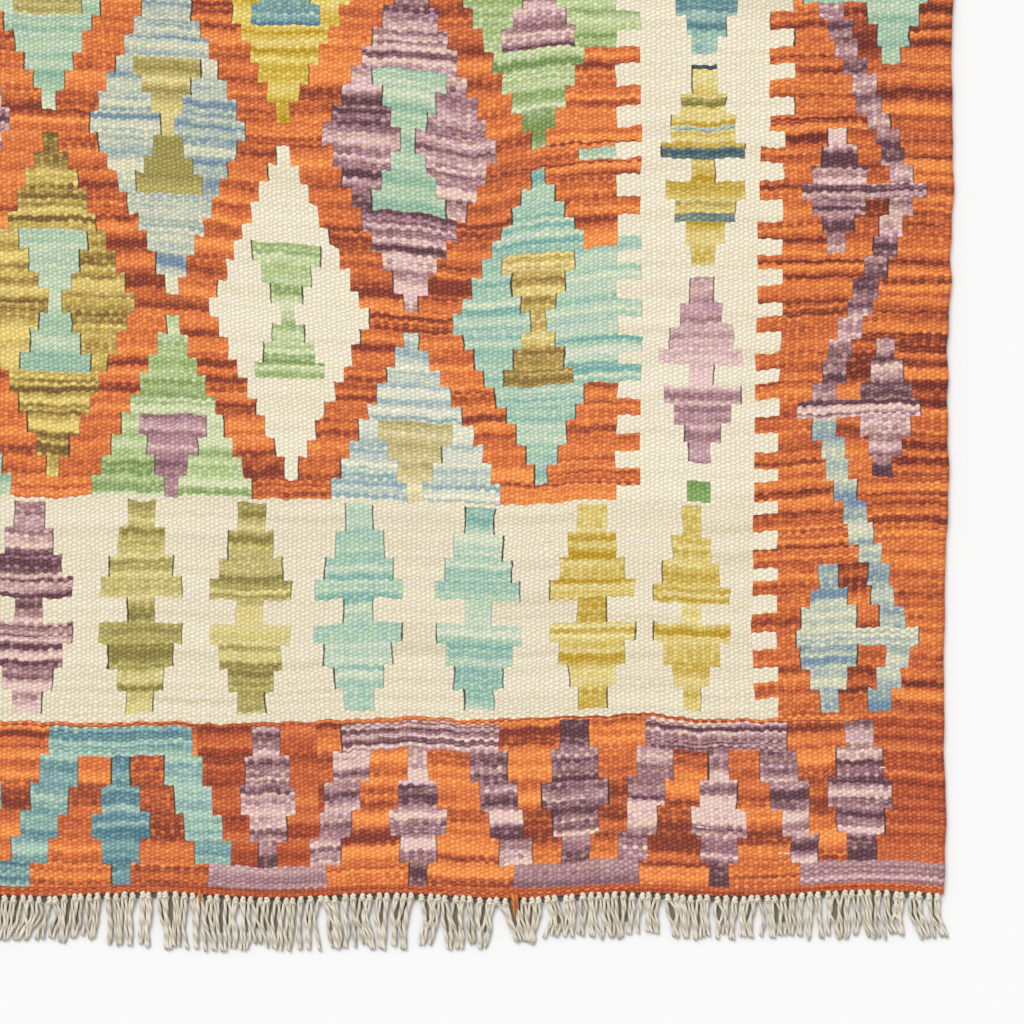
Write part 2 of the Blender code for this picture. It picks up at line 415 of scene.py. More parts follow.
# One row for each crossbar: picks, whether the ribbon turns at its outer end, its yarn and that of
# the ribbon below it, its diamond's yarn and steps, and how many picks a step has
CROSSBARS = (
    {"picks": (112, 120), "outer": True, "bar": "blue", "ribbon": "blue",
     "diamond": "blue", "steps": WIDER, "step_picks": 9.9},
    {"picks": (217, 225), "outer": False, "bar": "purple", "ribbon": "blue",
     "diamond": "purple", "steps": BY_INNER_TURN, "step_picks": 9.2},
    {"picks": (319, 325), "outer": True, "bar": "purple", "ribbon": "purple",
     "diamond": "purple", "steps": BY_OUTER_TURN, "step_picks": 8.6},
    {"picks": (408, 414), "outer": False, "bar": "mint", "ribbon": "purple",
     "diamond": "mint", "steps": BY_INNER_TURN, "step_picks": 9.4},
    {"picks": (507, 513), "outer": True, "bar": "purple", "ribbon": "teal",
     "diamond": "mauve", "steps": BY_OUTER_TURN, "step_picks": 9.4},
)
CROSSBAR_WARPS = (132, 158)


def ribbon_places(from_outer):
    """Warps where the ribbon's steps stand between its outer and its inner turn."""
    shares = [(step + 0.5) / RIBBON_STEPS for step in range(RIBBON_STEPS)]
    travels = [1.0 - share if from_outer else share for share in shares]
    return [round(RIBBON_INNER + (RIBBON_OUTER - RIBBON_INNER) * travel) for travel in travels]


def paint_ribbon(quarter, start, stop, places, yarn):
    """One step of the ribbon for each place, from the pick start to the pick stop."""
    for index, low in enumerate(places):
        picks = [start + (stop - start) * at / len(places) for at in (index, index + 1)]
        quarter.block((low, low + RIBBON_WARPS), picks, yarn)


def paint_crossbar(quarter, row):
    start, stop = row["picks"]
    quarter.block(CROSSBAR_WARPS, (start, stop), row["bar"])
    for index, warps in enumerate(row["steps"]):
        low, high = row["step_picks"] * index, row["step_picks"] * (index + 1)
        for picks in ((stop + low, stop + high), (start - low, start - high)):
            quarter.block(warps, picks, row["diamond"])


def paint_side_borders():
    for quarter in QUARTERS:
        start, places = RIBBON_START, FIRST_STEPS
        for row in CROSSBARS:
            paint_ribbon(quarter, start, row["picks"][0], places, row["ribbon"])
            start, places = row["picks"][1], ribbon_places(row["outer"])
        for row in CROSSBARS:
            if quarter.along > 0 or row["picks"][1] < MIDDLE_PICK:
                paint_crossbar(quarter, row)


# ---- patterned end borders. Levels are picks from the rug's end
LEVELS = (4, 14, 26, 38, 51, 65, 78)
BAR_LEVEL = 5           # the level that an arch's bar stands on
# One row for each arch: centre, half-width of its bar, its yarns at the near and far end
ARCHES = (
    (-138, 15.5, "deep_blue", "purple"), (-74, 15.5, "purple", "deep_blue"),
    (-11, 15.5, "deep_blue", "green"), (52.5, 16.5, "purple", "purple"),
    (115, 14.5, "purple", "deep_blue"),
)
# One row for each standing figure between them: centre, its yarns at the near and far end
EDGE_FIGURE = 145       # its foot runs on to the selvedge
STANDING = (
    (-107, "deep_blue", "purple"), (-43, "deep_blue", "mauve"), (20, "purple", "purple"),
    (85, "purple", "deep_blue"), (EDGE_FIGURE, "purple", "purple"),
)
STANDING_WIDTHS = (6, 10, 13, 9, 5)
STEM_WIDTHS = (4, 8, 12, 8, 4)
LEG_WIDTHS = (8, 8, 7, 7)
LEG_INSET = 6           # from a bar's end to the inside of its leg at the top
LEG_STEP = 2            # how far out a leg moves from level to level
FOOT_HALF = 13
# Stretches of ground woven in darker wool: their warps at the near and at the far end
DARK_GROUNDS = {1: ((5, 31), (145, HALF_WARPS)), -1: ((-100, -76), (36, 64))}


def paint_steps(half_rug, centre, widths, top, yarn):
    """Steps of a figure, centred on one line, from a level down."""
    for step, width in enumerate(widths):
        picks = (LEVELS[top - 1 - step], LEVELS[top - step])
        half_rug.block((centre - 0.5 * width, centre + 0.5 * width), picks, yarn)


def paint_arch(half_rug, centre, half, yarn):
    picks = (LEVELS[BAR_LEVEL], LEVELS[BAR_LEVEL + 1])
    half_rug.block((centre - half, centre + half), picks, yarn)
    for step, width in enumerate(LEG_WIDTHS):
        picks = (LEVELS[BAR_LEVEL - 1 - step], LEVELS[BAR_LEVEL - step])
        inner = half - LEG_INSET + LEG_STEP * step
        for side in (-1, 1):
            warps = (centre + side * inner, centre + side * (inner + width))
            half_rug.block(warps, picks, yarn)
    paint_steps(half_rug, centre, STEM_WIDTHS, BAR_LEVEL, yarn)


def paint_end_border(along):
    half_rug = Quarter(1, along)
    whole = (-HALF_WARPS, HALF_WARPS)
    half_rug.block(whole, (0, END_DEPTH), "orange")
    half_rug.block(whole, (0, LEVELS[0]), "rust")
    for warps in DARK_GROUNDS[along]:
        half_rug.block(warps, (LEVELS[1], END_DEPTH - 1), "rust")
    for centre, half, near_yarn, far_yarn in ARCHES:
        paint_arch(half_rug, centre, half, near_yarn if along > 0 else far_yarn)
    for centre, near_yarn, far_yarn in STANDING:
        yarn = near_yarn if along > 0 else far_yarn
        paint_steps(half_rug, centre, STANDING_WIDTHS, BAR_LEVEL + 1, yarn)
        outer = HALF_WARPS if centre == EDGE_FIGURE else centre + FOOT_HALF
        foot = "plum" if yarn == "purple" else yarn
        half_rug.block((centre - FOOT_HALF, outer), (LEVELS[0], LEVELS[1]), foot)


def paint_chart():
    paint_grounds()
    paint_combs()
    paint_field()
    paint_spindles()
    paint_side_borders()
    for along in (1, -1):
        paint_end_border(along)


# ---------------------------------------------------------------- how the weave wanders
# A hand-woven rug isn't even. One row for each stretch where the corner that the photo shows has
# drifted: its middle, how far it has moved across and along the rug, and its reach both ways
DRIFTS = [dict(zip(("at", "moved", "reach"), row)) for row in (
    ((0.450, -0.720), (0.0045, 0.0), (0.25, 0.11)), ((-0.090, -0.370), (0.0070, 0.0), (0.11, 0.13)),
    ((0.110, -0.230), (-0.0070, 0.0), (0.10, 0.16)), ((0.470, -0.220), (0.0028, 0.0), (0.12, 0.16)),
    ((-0.120, -0.150), (0.0030, 0.0), (0.07, 0.12)), ((0.090, -0.560), (-0.0025, 0.0), (0.04, 0.05)),
    ((0.215, -0.435), (0.0035, 0.0), (0.04, 0.04)), ((0.020, -0.700), (0.0025, 0.0), (0.06, 0.08)),
    ((-0.070, -0.560), (0.0025, 0.0), (0.06, 0.06)), ((0.300, -0.150), (-0.0028, 0.0), (0.035, 0.14)),
    ((-0.140, -0.220), (0.0, 0.0120), (0.19, 0.26)), ((0.180, -0.320), (0.0, -0.0080), (0.09, 0.08)),
    ((0.280, -0.650), (0.0, 0.0035), (0.15, 0.08)), ((0.510, -0.470), (0.0, 0.0035), (0.08, 0.12)),
    ((-0.020, -0.630), (0.0, -0.0035), (0.07, 0.08)), ((0.070, -0.440), (0.0, 0.0030), (0.05, 0.05)),
    ((-0.110, -0.720), (0.0, 0.0025), (0.05, 0.06)), ((0.201, -0.235), (0.0, -0.0090), (0.030, 0.065)),
)]
SHOWN_CORNER = (-0.112, -0.144)   # the drifts are known to the right of and nearer than this
WANDER_FADE = 0.10      # how far past it the seeded wander takes over
HIDDEN_WANDER = 0.0022
HIDDEN_WAVELENGTH = 0.42
# Small unevenness everywhere: wavelength and size of each layer
UNEVEN_LAYERS = ((0.055, 0.0004), (0.024, 0.0004), (0.012, 0.00022))
EDGE_LAYERS = ((0.110, 0.0006), (0.030, 0.00035))   # the same for the selvedges
ACROSS_SHARE = 0.7      # unevenness across, as a share of that along
SIDES_APART = 0.2       # makes the two selvedges uneven at different places
WAVES = 7
WAVE_SPREAD = (0.75, 1.35)


def rolling(x, y, seed, wavelength, size):
    """Smooth seeded unevenness: waves of much the same length in several directions."""
    rng = random.Random(seed)
    total = np.zeros(np.shape(x))
    for _ in range(WAVES):
        angle = rng.uniform(0.0, 2.0 * math.pi)
        length = wavelength * rng.uniform(*WAVE_SPREAD)
        phase = rng.uniform(0.0, 2.0 * math.pi)
        ahead = x * math.cos(angle) + y * math.sin(angle)
        total = total + np.cos(2.0 * math.pi * ahead / length + phase)
    return size * total * math.sqrt(2.0 / WAVES)


def wander(x, y):
    """How far across and along the rug the weave at a place has wandered."""
    past = np.maximum(SHOWN_CORNER[0] - x, y - SHOWN_CORNER[1])
    hidden = np.clip(past / WANDER_FADE, 0.0, 1.0)
    hidden = hidden * hidden * (3.0 - 2.0 * hidden)
    seeds = (SEEDS["drift_across"], SEEDS["drift_along"])
    moves = [hidden * rolling(x, y, seed, HIDDEN_WAVELENGTH, HIDDEN_WANDER) for seed in seeds]
    for row in DRIFTS:
        off_x = (x - row["at"][0]) / row["reach"][0]
        off_y = (y - row["at"][1]) / row["reach"][1]
        share = np.exp(-off_x * off_x - off_y * off_y)
        moves = [move + share * moved for move, moved in zip(moves, row["moved"])]
    for layer, (length, size) in enumerate(UNEVEN_LAYERS):
        across_seed, along_seed = SEEDS["uneven_across"] + layer, SEEDS["uneven_along"] + layer
        moves[0] = moves[0] + rolling(x, y, across_seed, length, ACROSS_SHARE * size)
        moves[1] = moves[1] + rolling(x, y, along_seed, length, size)
    return moves


def selvedge_shift(x, y):
    """How far each selvedge stands out at a place along it."""
    total = np.zeros(np.shape(y))
    for layer, (length, size) in enumerate(EDGE_LAYERS):
        seed = SEEDS["selvedge"] + layer
        total = total + rolling(SIDES_APART * np.sign(x), y, seed, length, size)
    return total


# ---------------------------------------------------------------- bobbins
SEED_STEP = 0.6180339   # between the random numbers of two bobbins
WIDEST_REACH = 40       # most warps that one pick of a bobbin is taken to cross
FIRST_YARN = 900.0      # warps of yarn that a bobbin may have used before it is taken up
COMB_WARPS = (FIELD_EDGE, FIELD_TOOTH, OUTER_TOOTH, OUTER_RECESS)   # where teeth share a warp
COMB_SLIT = 0.25        # so that their slits gape less
OPEN_YARNS = ("mint", "teal")   # their slits gape more often than those of other yarns
OPEN_RARITY = 1.0
RARITY = 3.2
LEAST_GAPE = 0.05


def wind_bobbins(columns, rows, yarn):
    """Follow each bobbin up the rug, adding up the yarn that its picks use.

    Each cell gets its bobbin's number, the yarn used before the row, what one pick uses, and
    the middle of the stretch that the bobbin covers there."""
    rng = random.Random(SEEDS["bobbins"])
    bobbin = np.zeros(yarn.shape, dtype=int)
    used, reach, middle = (np.zeros(yarn.shape) for _ in range(3))
    spent = {}
    for row in range(yarn.shape[0]):
        changes = [at for at in range(1, yarn.shape[1]) if yarn[row, at] != yarn[row, at - 1]]
        joins = [0, *changes, yarn.shape[1]]
        taken = set()
        for first, after in zip(joins, joins[1:]):
            below = []
            if row:
                same = yarn[row - 1, first:after] == yarn[row, first]
                below = [int(number) for number in bobbin[row - 1, first:after][same]]
            free = sorted(set(below) - taken, key=below.count)
            number = free[-1] if free else len(spent)
            if not free:
                spent[number] = rng.uniform(0.0, FIRST_YARN)
            taken.add(number)
            width = min(columns[after] - columns[first], WIDEST_REACH)
            bobbin[row, first:after] = number
            used[row, first:after] = spent[number]
            reach[row, first:after] = width
            middle[row, first:after] = 0.5 * (columns[first] + columns[after])
            spent[number] += width * (rows[row + 1] - rows[row])
    return bobbin, used, reach, middle


def slit_widths(bobbin, columns, yarn):
    """How far each upright join between bobbins gapes, the same all along one join."""
    rng = random.Random(SEEDS["slits"])
    opens = {YARN_ORDER.index(name) for name in OPEN_YARNS}
    gape = np.zeros((bobbin.shape[0], bobbin.shape[1] + 1))
    for column in range(1, bobbin.shape[1]):
        widest = COMB_SLIT if abs(columns[column]) in COMB_WARPS else 1.0
        before, value = None, 0.0
        for row in range(bobbin.shape[0]):
            pair = (bobbin[row, column - 1], bobbin[row, column])
            if pair[0] == pair[1]:
                before, value = None, 0.0
            elif pair != before:
                gapes = opens & {yarn[row, column - 1], yarn[row, column]}
                rarity = OPEN_RARITY if gapes else RARITY
                before, value = pair, widest * rng.uniform(LEAST_GAPE, 1.0) ** rarity
            gape[row, column] = value
    return gape


# ---------------------------------------------------------------- cloth geometry
# The rim, from the face down: how far inside the outline, and its share of the thickness
RIM_PROFILE = ((0.0013, 1.0), (0.0005, 0.86), (0.0, 0.5), (0.0005, 0.14), (0.0013, 0.03))
BACK_RISE = 0.9         # how high the back lies, as a share of the rim's lowest line
JITTER = 0.00018        # how unevenly the grid's points lie across and along, and up
SURFACE_ROUGHNESS = 0.00012
HELD_WARPS = 9.0        # from a selvedge, and picks from an end, within which the weave is held
HELD_PICKS = 12.0


def in_scene(name, data):
    """A new object of the scene that shows this data."""
    obj = bpy.data.objects.new(name, data)
    bpy.context.scene.collection.objects.link(obj)
    return obj


def store(mesh, name, domain, values):
    """Give a mesh's points or faces a vector that its material reads by name."""
    layer = mesh.attributes.new(name, "FLOAT_VECTOR", domain)
    layer.data.foreach_set("vector", values.astype(np.float32).reshape(-1))


def rim_lines(lines):
    """Grid lines with the rim's profile put before the first and after the last."""
    count = len(RIM_PROFILE) - 1
    inset = [0.0] * (len(lines) + 2 * count)
    height = [1.0] * len(inset)
    for index, (inward, rise) in enumerate(RIM_PROFILE):
        for at in (count - index, len(inset) - 1 - count + index):
            inset[at] = inward
            height[at] = rise
    padded = [lines[0]] * count + list(lines) + [lines[-1]] * count
    return np.array(padded), np.array(inset), np.array(height)


def back_lines(lines):
    """The same for the back, which meets the rim's last line."""
    inset = np.zeros(len(lines))
    inset[[0, -1]] = RIM_PROFILE[-1][0]
    return lines, inset, np.ones(len(lines))


def cloth_mesh(name, columns, rows, yarn, face_up):
    """A sheet on the chart's grid. The face also turns over the rim; the back lies flat."""
    rng = np.random.default_rng(SEEDS["cloth"])
    rim = len(RIM_PROFILE) - 1 if face_up else 0
    profile = rim_lines if face_up else back_lines
    warp_lines, warp_inset, warp_height = profile(columns)
    pick_lines, pick_inset, pick_height = profile(rows)
    warp, pick = np.meshgrid(warp_lines, pick_lines)
    inset_x, inset_y = np.meshgrid(warp_inset, pick_inset)
    height = np.minimum(*np.meshgrid(warp_height, pick_height))
    share = 2.0 * pick / PICKS - 1.0
    x = warp / HALF_WARPS * side_reach(0.5 * PANEL_LENGTH * share)
    y = share * np.where(share > 0.0, end_reach(x, 1), end_reach(x, -1))

    # The weave wanders freely inside, less and less towards the selvedges and ends
    free_across = np.clip((HALF_WARPS - np.abs(warp)) / HELD_WARPS, 0.0, 1.0)
    free_along = np.clip(0.5 * PICKS * (1.0 - np.abs(share)) / HELD_PICKS, 0.0, 1.0)
    across, along = wander(x, y)
    shake = rng.normal(0.0, JITTER, (2, len(rows), len(columns)))
    x = x + (1.0 - free_across) * selvedge_shift(x, y)
    x = x + free_across * (across + grown(shake[0], rim))
    y = y + free_along * (along + grown(shake[1], rim))
    x = x - np.sign(warp) * inset_x
    y = y - np.sign(share) * inset_y
    if face_up:
        z = height * (panel_top(x, y) + rng.normal(0.0, SURFACE_ROUGHNESS, x.shape))
    else:
        z = np.full(x.shape, RIM_PROFILE[-1][1] * PANEL_THICKNESS * BACK_RISE)

    index = np.arange(x.size).reshape(x.shape)
    corners = (index[:-1, :-1], index[:-1, 1:], index[1:, 1:], index[1:, :-1])
    quads = np.stack(corners if face_up else corners[::-1], axis=-1).reshape(-1, 4)
    mesh = bpy.data.meshes.new(name)
    mesh.from_pydata(np.stack([x, y, z], axis=-1).reshape(-1, 3).tolist(), [], quads.tolist())
    store(mesh, "threads", "POINT", np.stack([doubled(warp), pick, 0.0 * pick], axis=-1))
    weave_attributes(mesh, columns, rows, yarn, rim)
    bake_map(mesh, quads, x, y)
    mesh.shade_smooth()
    return in_scene(name, mesh)


def grown(values, rim):
    """Values of the grid, carried on over the rim."""
    return np.pad(values, ((rim, rim), (rim, rim)), mode="edge")


def bake_map(mesh, quads, x, y):
    """A plan-view UV map over the sheet."""
    layer = mesh.uv_layers.new(name="OFBake")
    flat = quads.reshape(-1)
    places = [(part.reshape(-1)[flat] + 0.5 * RUG_LENGTH) / RUG_LENGTH for part in (x, y)]
    layer.data.foreach_set("uv", np.stack(places, axis=-1).reshape(-1))


def doubled(warp):
    """Warp places as the grain sees them: the selvedge's warps are taken in pairs."""
    plain = HALF_WARPS - SELVEDGE_WARPS
    over = np.clip(np.abs(warp) - plain, 0.0, None)
    return np.sign(warp) * (np.minimum(np.abs(warp), plain) + 0.5 * over)


def shifted(values, step):
    """Each cell's value taken from the row above or below it."""
    if step > 0:
        return np.concatenate([values[1:], values[-1:]])
    if step < 0:
        return np.concatenate([values[:1], values[:-1]])
    return values


def weave_attributes(mesh, columns, rows, yarn, rim):
    """What the weave's shader reads from each cell: its own bobbin, and those above and below."""
    bobbin, used, reach, middle = wind_bobbins(columns, rows, yarn)
    kind = (yarn + 0.5) / len(YARN_ORDER)
    streaked = np.array([YARNS[name][STREAKED] for name in YARN_ORDER])[yarn]
    seed = (bobbin * SEED_STEP) % 1.0
    used_after = used + reach * (rows[1:] - rows[:-1])[:, None]
    flat = np.zeros(yarn.shape)

    def put(name, one, two, three=flat):
        parts = [grown(part + flat, rim) for part in (one, two, three)]
        store(mesh, name, "FACE", np.stack(parts, axis=-1))

    for name, step, start in (("here", 0, used), ("above", 1, used), ("below", -1, used_after)):
        put("run_" + name, *(shifted(values, step) for values in (kind, seed, streaked)))
        put("yarn_" + name, *(shifted(values, step) for values in (start, reach, middle)))
    sides = doubled(columns)[None, :]
    gape = slit_widths(bobbin, columns, yarn)
    put("span", rows[:-1, None], rows[1:, None])
    put("sides", sides[:, :-1], sides[:, 1:])
    put("slits", gape[:, :-1], gape[:, 1:])


# ---------------------------------------------------------------- shader helpers
class Nodes:
    """Short calls for building a material's node tree."""

    def __init__(self, name):
        self.material = bpy.data.materials.new(name)
        self.material.use_nodes = True
        self.tree = self.material.node_tree
        self.shader = self.tree.nodes["Principled BSDF"]

    def feed(self, socket, value):
        if isinstance(value, bpy.types.NodeSocket):
            self.tree.links.new(value, socket)
        elif value is not None:
            socket.default_value = value

    def add(self, kind, values=(), **settings):
        """A node with these settings, and with these values fed to its first sockets."""
        node = self.tree.nodes.new(kind)
        for key, value in settings.items():
            setattr(node, key, value)
        for socket, value in zip(node.inputs, values):
            self.feed(socket, value)
        return node

    def math(self, operation, *values, clamp=False):
        node = self.add("ShaderNodeMath", values, operation=operation, use_clamp=clamp)
        return node.outputs[0]

    def minus(self, first, second):
        return self.math("SUBTRACT", first, second)

    def times(self, first, second, clamp=False):
        return self.math("MULTIPLY", first, second, clamp=clamp)

    def times_plus(self, first, second, more, clamp=False):
        return self.math("MULTIPLY_ADD", first, second, more, clamp=clamp)

    def attribute(self, name):
        return self.add("ShaderNodeAttribute", attribute_name=name).outputs["Vector"]

    def split(self, vector):
        return self.add("ShaderNodeSeparateXYZ", (vector,)).outputs[:3]

    def join(self, x, y, z=0.0):
        return self.add("ShaderNodeCombineXYZ", (x, y, z)).outputs[0]

    def mixed(self, kind, inputs, factor, first, second, **settings):
        node = self.add("ShaderNodeMix", (factor,), data_type=kind, **settings)
        for at, value in zip(inputs, (first, second)):
            self.feed(node.inputs[at], value)
        return node

    def choose(self, factor, first, second):
        return self.mixed("VECTOR", (4, 5), factor, first, second).outputs[1]

    def mix_value(self, factor, first, second):
        return self.mixed("FLOAT", (2, 3), factor, first, second).outputs[0]

    def mix(self, factor, first, second, blend="MIX"):
        return self.mixed("RGBA", (6, 7), factor, first, second, blend_type=blend).outputs[2]

    def cloud(self, vector, detail, roughness=0.5):
        """Smooth noise, from -0.5 to 0.5."""
        node = self.add("ShaderNodeTexNoise")
        self.feed(node.inputs["Vector"], vector)
        for name, value in (("Scale", 1.0), ("Detail", detail), ("Roughness", roughness)):
            node.inputs[name].default_value = value
        return self.minus(node.outputs[0], 0.5)

    def random(self, vector):
        """A random number for each vector, from -0.5 to 0.5."""
        node = self.add("ShaderNodeTexWhiteNoise", (vector,), noise_dimensions="3D")
        return self.minus(node.outputs[0], 0.5)

    def smooth(self, value, low, high, start=0.0, stop=1.0):
        values = (value, low, high, start, stop)
        return self.add("ShaderNodeMapRange", values, interpolation_type="SMOOTHSTEP").outputs[0]

    def ramp(self, factor, colours):
        """A constant ramp with one step for each colour."""
        node = self.add("ShaderNodeValToRGB", (factor,))
        node.color_ramp.interpolation = "CONSTANT"
        steps = node.color_ramp.elements
        for index, colour in enumerate(colours):
            step = steps[index] if index < 2 else steps.new(index / len(colours))
            step.position = index / len(colours)
            step.color = colour
        return node.outputs[0]

    def dyed(self, tone, light, middle, dark):
        """The light colour at a tone of 0, the middle one at 0.5 and the dark one at 1."""
        to_middle = self.times(tone, 2.0, clamp=True)
        to_dark = self.times_plus(tone, 2.0, -1.0, clamp=True)
        return self.mix(to_dark, self.mix(to_middle, light, middle), dark)

    def surface(self, colour, roughness, specular):
        self.feed(self.shader.inputs["Base Color"], colour)
        self.shader.inputs["Roughness"].default_value = roughness
        self.shader.inputs["Specular IOR Level"].default_value = specular

    def bump(self, height, distance, strength):
        node = self.add("ShaderNodeBump")
        node.inputs["Distance"].default_value = distance
        node.inputs["Strength"].default_value = strength
        self.feed(node.inputs["Height"], height)
        self.feed(self.shader.inputs["Normal"], node.outputs[0])


# ---------------------------------------------------------------- materials
STREAK_WARPS = 70.0     # yarn, in warps, over which the dye changes
STREAK_CONTRAST = 3.9
TINT_WARPS = 34.0       # yarn, in warps, over which the dye turns warmer or cooler
TINT_CONTRAST = 2.6
LANES_APART = 91.7      # keeps the streaks of two bobbins different
# How much the tone differs between bobbins, beads and picks, and the tint between beads
BOBBIN_TONE = 0.16
BEAD_TONE = 0.26
PICK_TONE = 0.30
BEAD_TINT = 0.9
TINT_TURNS = (0.02, 0.06, -0.12)   # how far a tint of 1 turns red, green and blue
LATTICE_STARTS = (0.5, 1.5)   # first warp and pick of each of the two lattices of beads
GRAIN_SLANT = 0.28      # picks that a bead climbs over one warp
BEAD_TAPER = 2.3        # how sharply a bead narrows towards its ends
LEVEL_GAP = 0.80        # how deep the gaps between picks are
END_GAP = 0.22          # how much deeper they are between warps, where beads end
GAP_SHADE = (-0.12, 0.93)   # gaps between which the painted shade sets in, and the height falls away
GAP_HEIGHT = (0.98, -0.12)
FIBRE_SIZE = 1.5        # how fine the fibres are: cells of noise for each warp and pick
FIBRE_DEPTH = -1.3      # how much a light fibre takes away from a gap's painted shade
FIBRE_HEIGHT = 0.5      # how much of the surface's height fibres are
PAINTED_SHADE_POWER = (0.26, 0.92)   # painted shade: gain and start of the power that deepens a gap's colour and lightens the beads' middles
PAINTED_SHADE_BRIGHTNESS = (-0.25, 1.115)   # painted shade and highlight: gain and start of the brightness, above 1 on the beads' middles
JOIN_STRAIGHTNESS = 0.75   # 0 gives a level join whole beads, 1 cuts them off straight
STIR_WARPS = 0.55       # how far beads are moved off their places, across and along
STIR_PICKS = 1.5
STIR_PER_WARP = 0.8     # how quickly that changes
STIR_PER_PICK = 0.42
STIR_LAYER = 7.7        # keeps the two moves different, as the next two do for the tints
TINT_LAYER = 5.0
BEAD_TINT_LAYER = 3.0
SLIT_WARPS = 0.34       # how far a slit opens to one side, before it is made ragged
SLIT_EDGE = (0.16, -0.14)   # warps from its edge between which its painted shade sets in
SLIT_PER_PICK = 0.35    # how quickly a slit's width changes, and how much
SLIT_RAGGED = 1.6
SLIT_SHARE = 0.5        # its middle width, as a share of the widest
SLIT_DEPTH = -1.5       # its height in the relief, where beads reach 1


def stirred(n, warp, pick):
    """Places across and along the weave, moved a little so that no two beads are the same."""
    places = []
    for layer, place, size in ((0.0, warp, STIR_WARPS), (STIR_LAYER, pick, STIR_PICKS)):
        at = n.join(n.times(warp, STIR_PER_WARP), n.times(pick, STIR_PER_PICK), layer)
        places.append(n.times_plus(n.cloud(at, detail=1.0), size, place))
    return places


def nearest(n, value, first):
    """The nearest of the numbers first, first + 2, first + 4 and so on."""
    step = n.math("FLOOR", n.times_plus(value, 0.5, 0.5 - 0.5 * first))
    return n.times_plus(step, 2.0, first)


def bead_ends(n, off_warp, taper):
    """What the way from a bead's middle, along it, adds to the reach."""
    return n.times(n.times(off_warp, off_warp), taper)


def bead_lattice(n, across, along, first):
    """The nearest bead of the lattice that starts at this warp and pick, and the reach to it."""
    column = nearest(n, across, first)
    off_warp = n.minus(across, column)
    level = n.times_plus(off_warp, -GRAIN_SLANT, along)
    centre = nearest(n, level, first)
    off_pick = n.minus(level, centre)
    reach = n.times_plus(off_pick, off_pick, bead_ends(n, off_warp, BEAD_TAPER))
    return n.join(column, centre), reach


def slit_mask(n, warp, pick, lane):
    """Where the cloth gapes along a cell's upright joins and gets painted shade, 0 to 1."""
    left, right, _ = n.split(n.attribute("sides"))
    left_gape, right_gape, _ = n.split(n.attribute("slits"))
    ragged = n.cloud(n.join(0.0, n.times(pick, SLIT_PER_PICK), lane), detail=2.0)
    ragged = n.times_plus(ragged, SLIT_RAGGED, SLIT_SHARE)
    slits = []
    for gape, away in ((left_gape, n.minus(warp, left)), (right_gape, n.minus(right, warp))):
        wide = n.times(n.times(gape, ragged), SLIT_WARPS)
        edge = n.smooth(n.minus(away, wide), *SLIT_EDGE)
        slits.append(n.times(edge, n.smooth(gape, 0.0, 0.5)))
    return n.math("MAXIMUM", *slits)


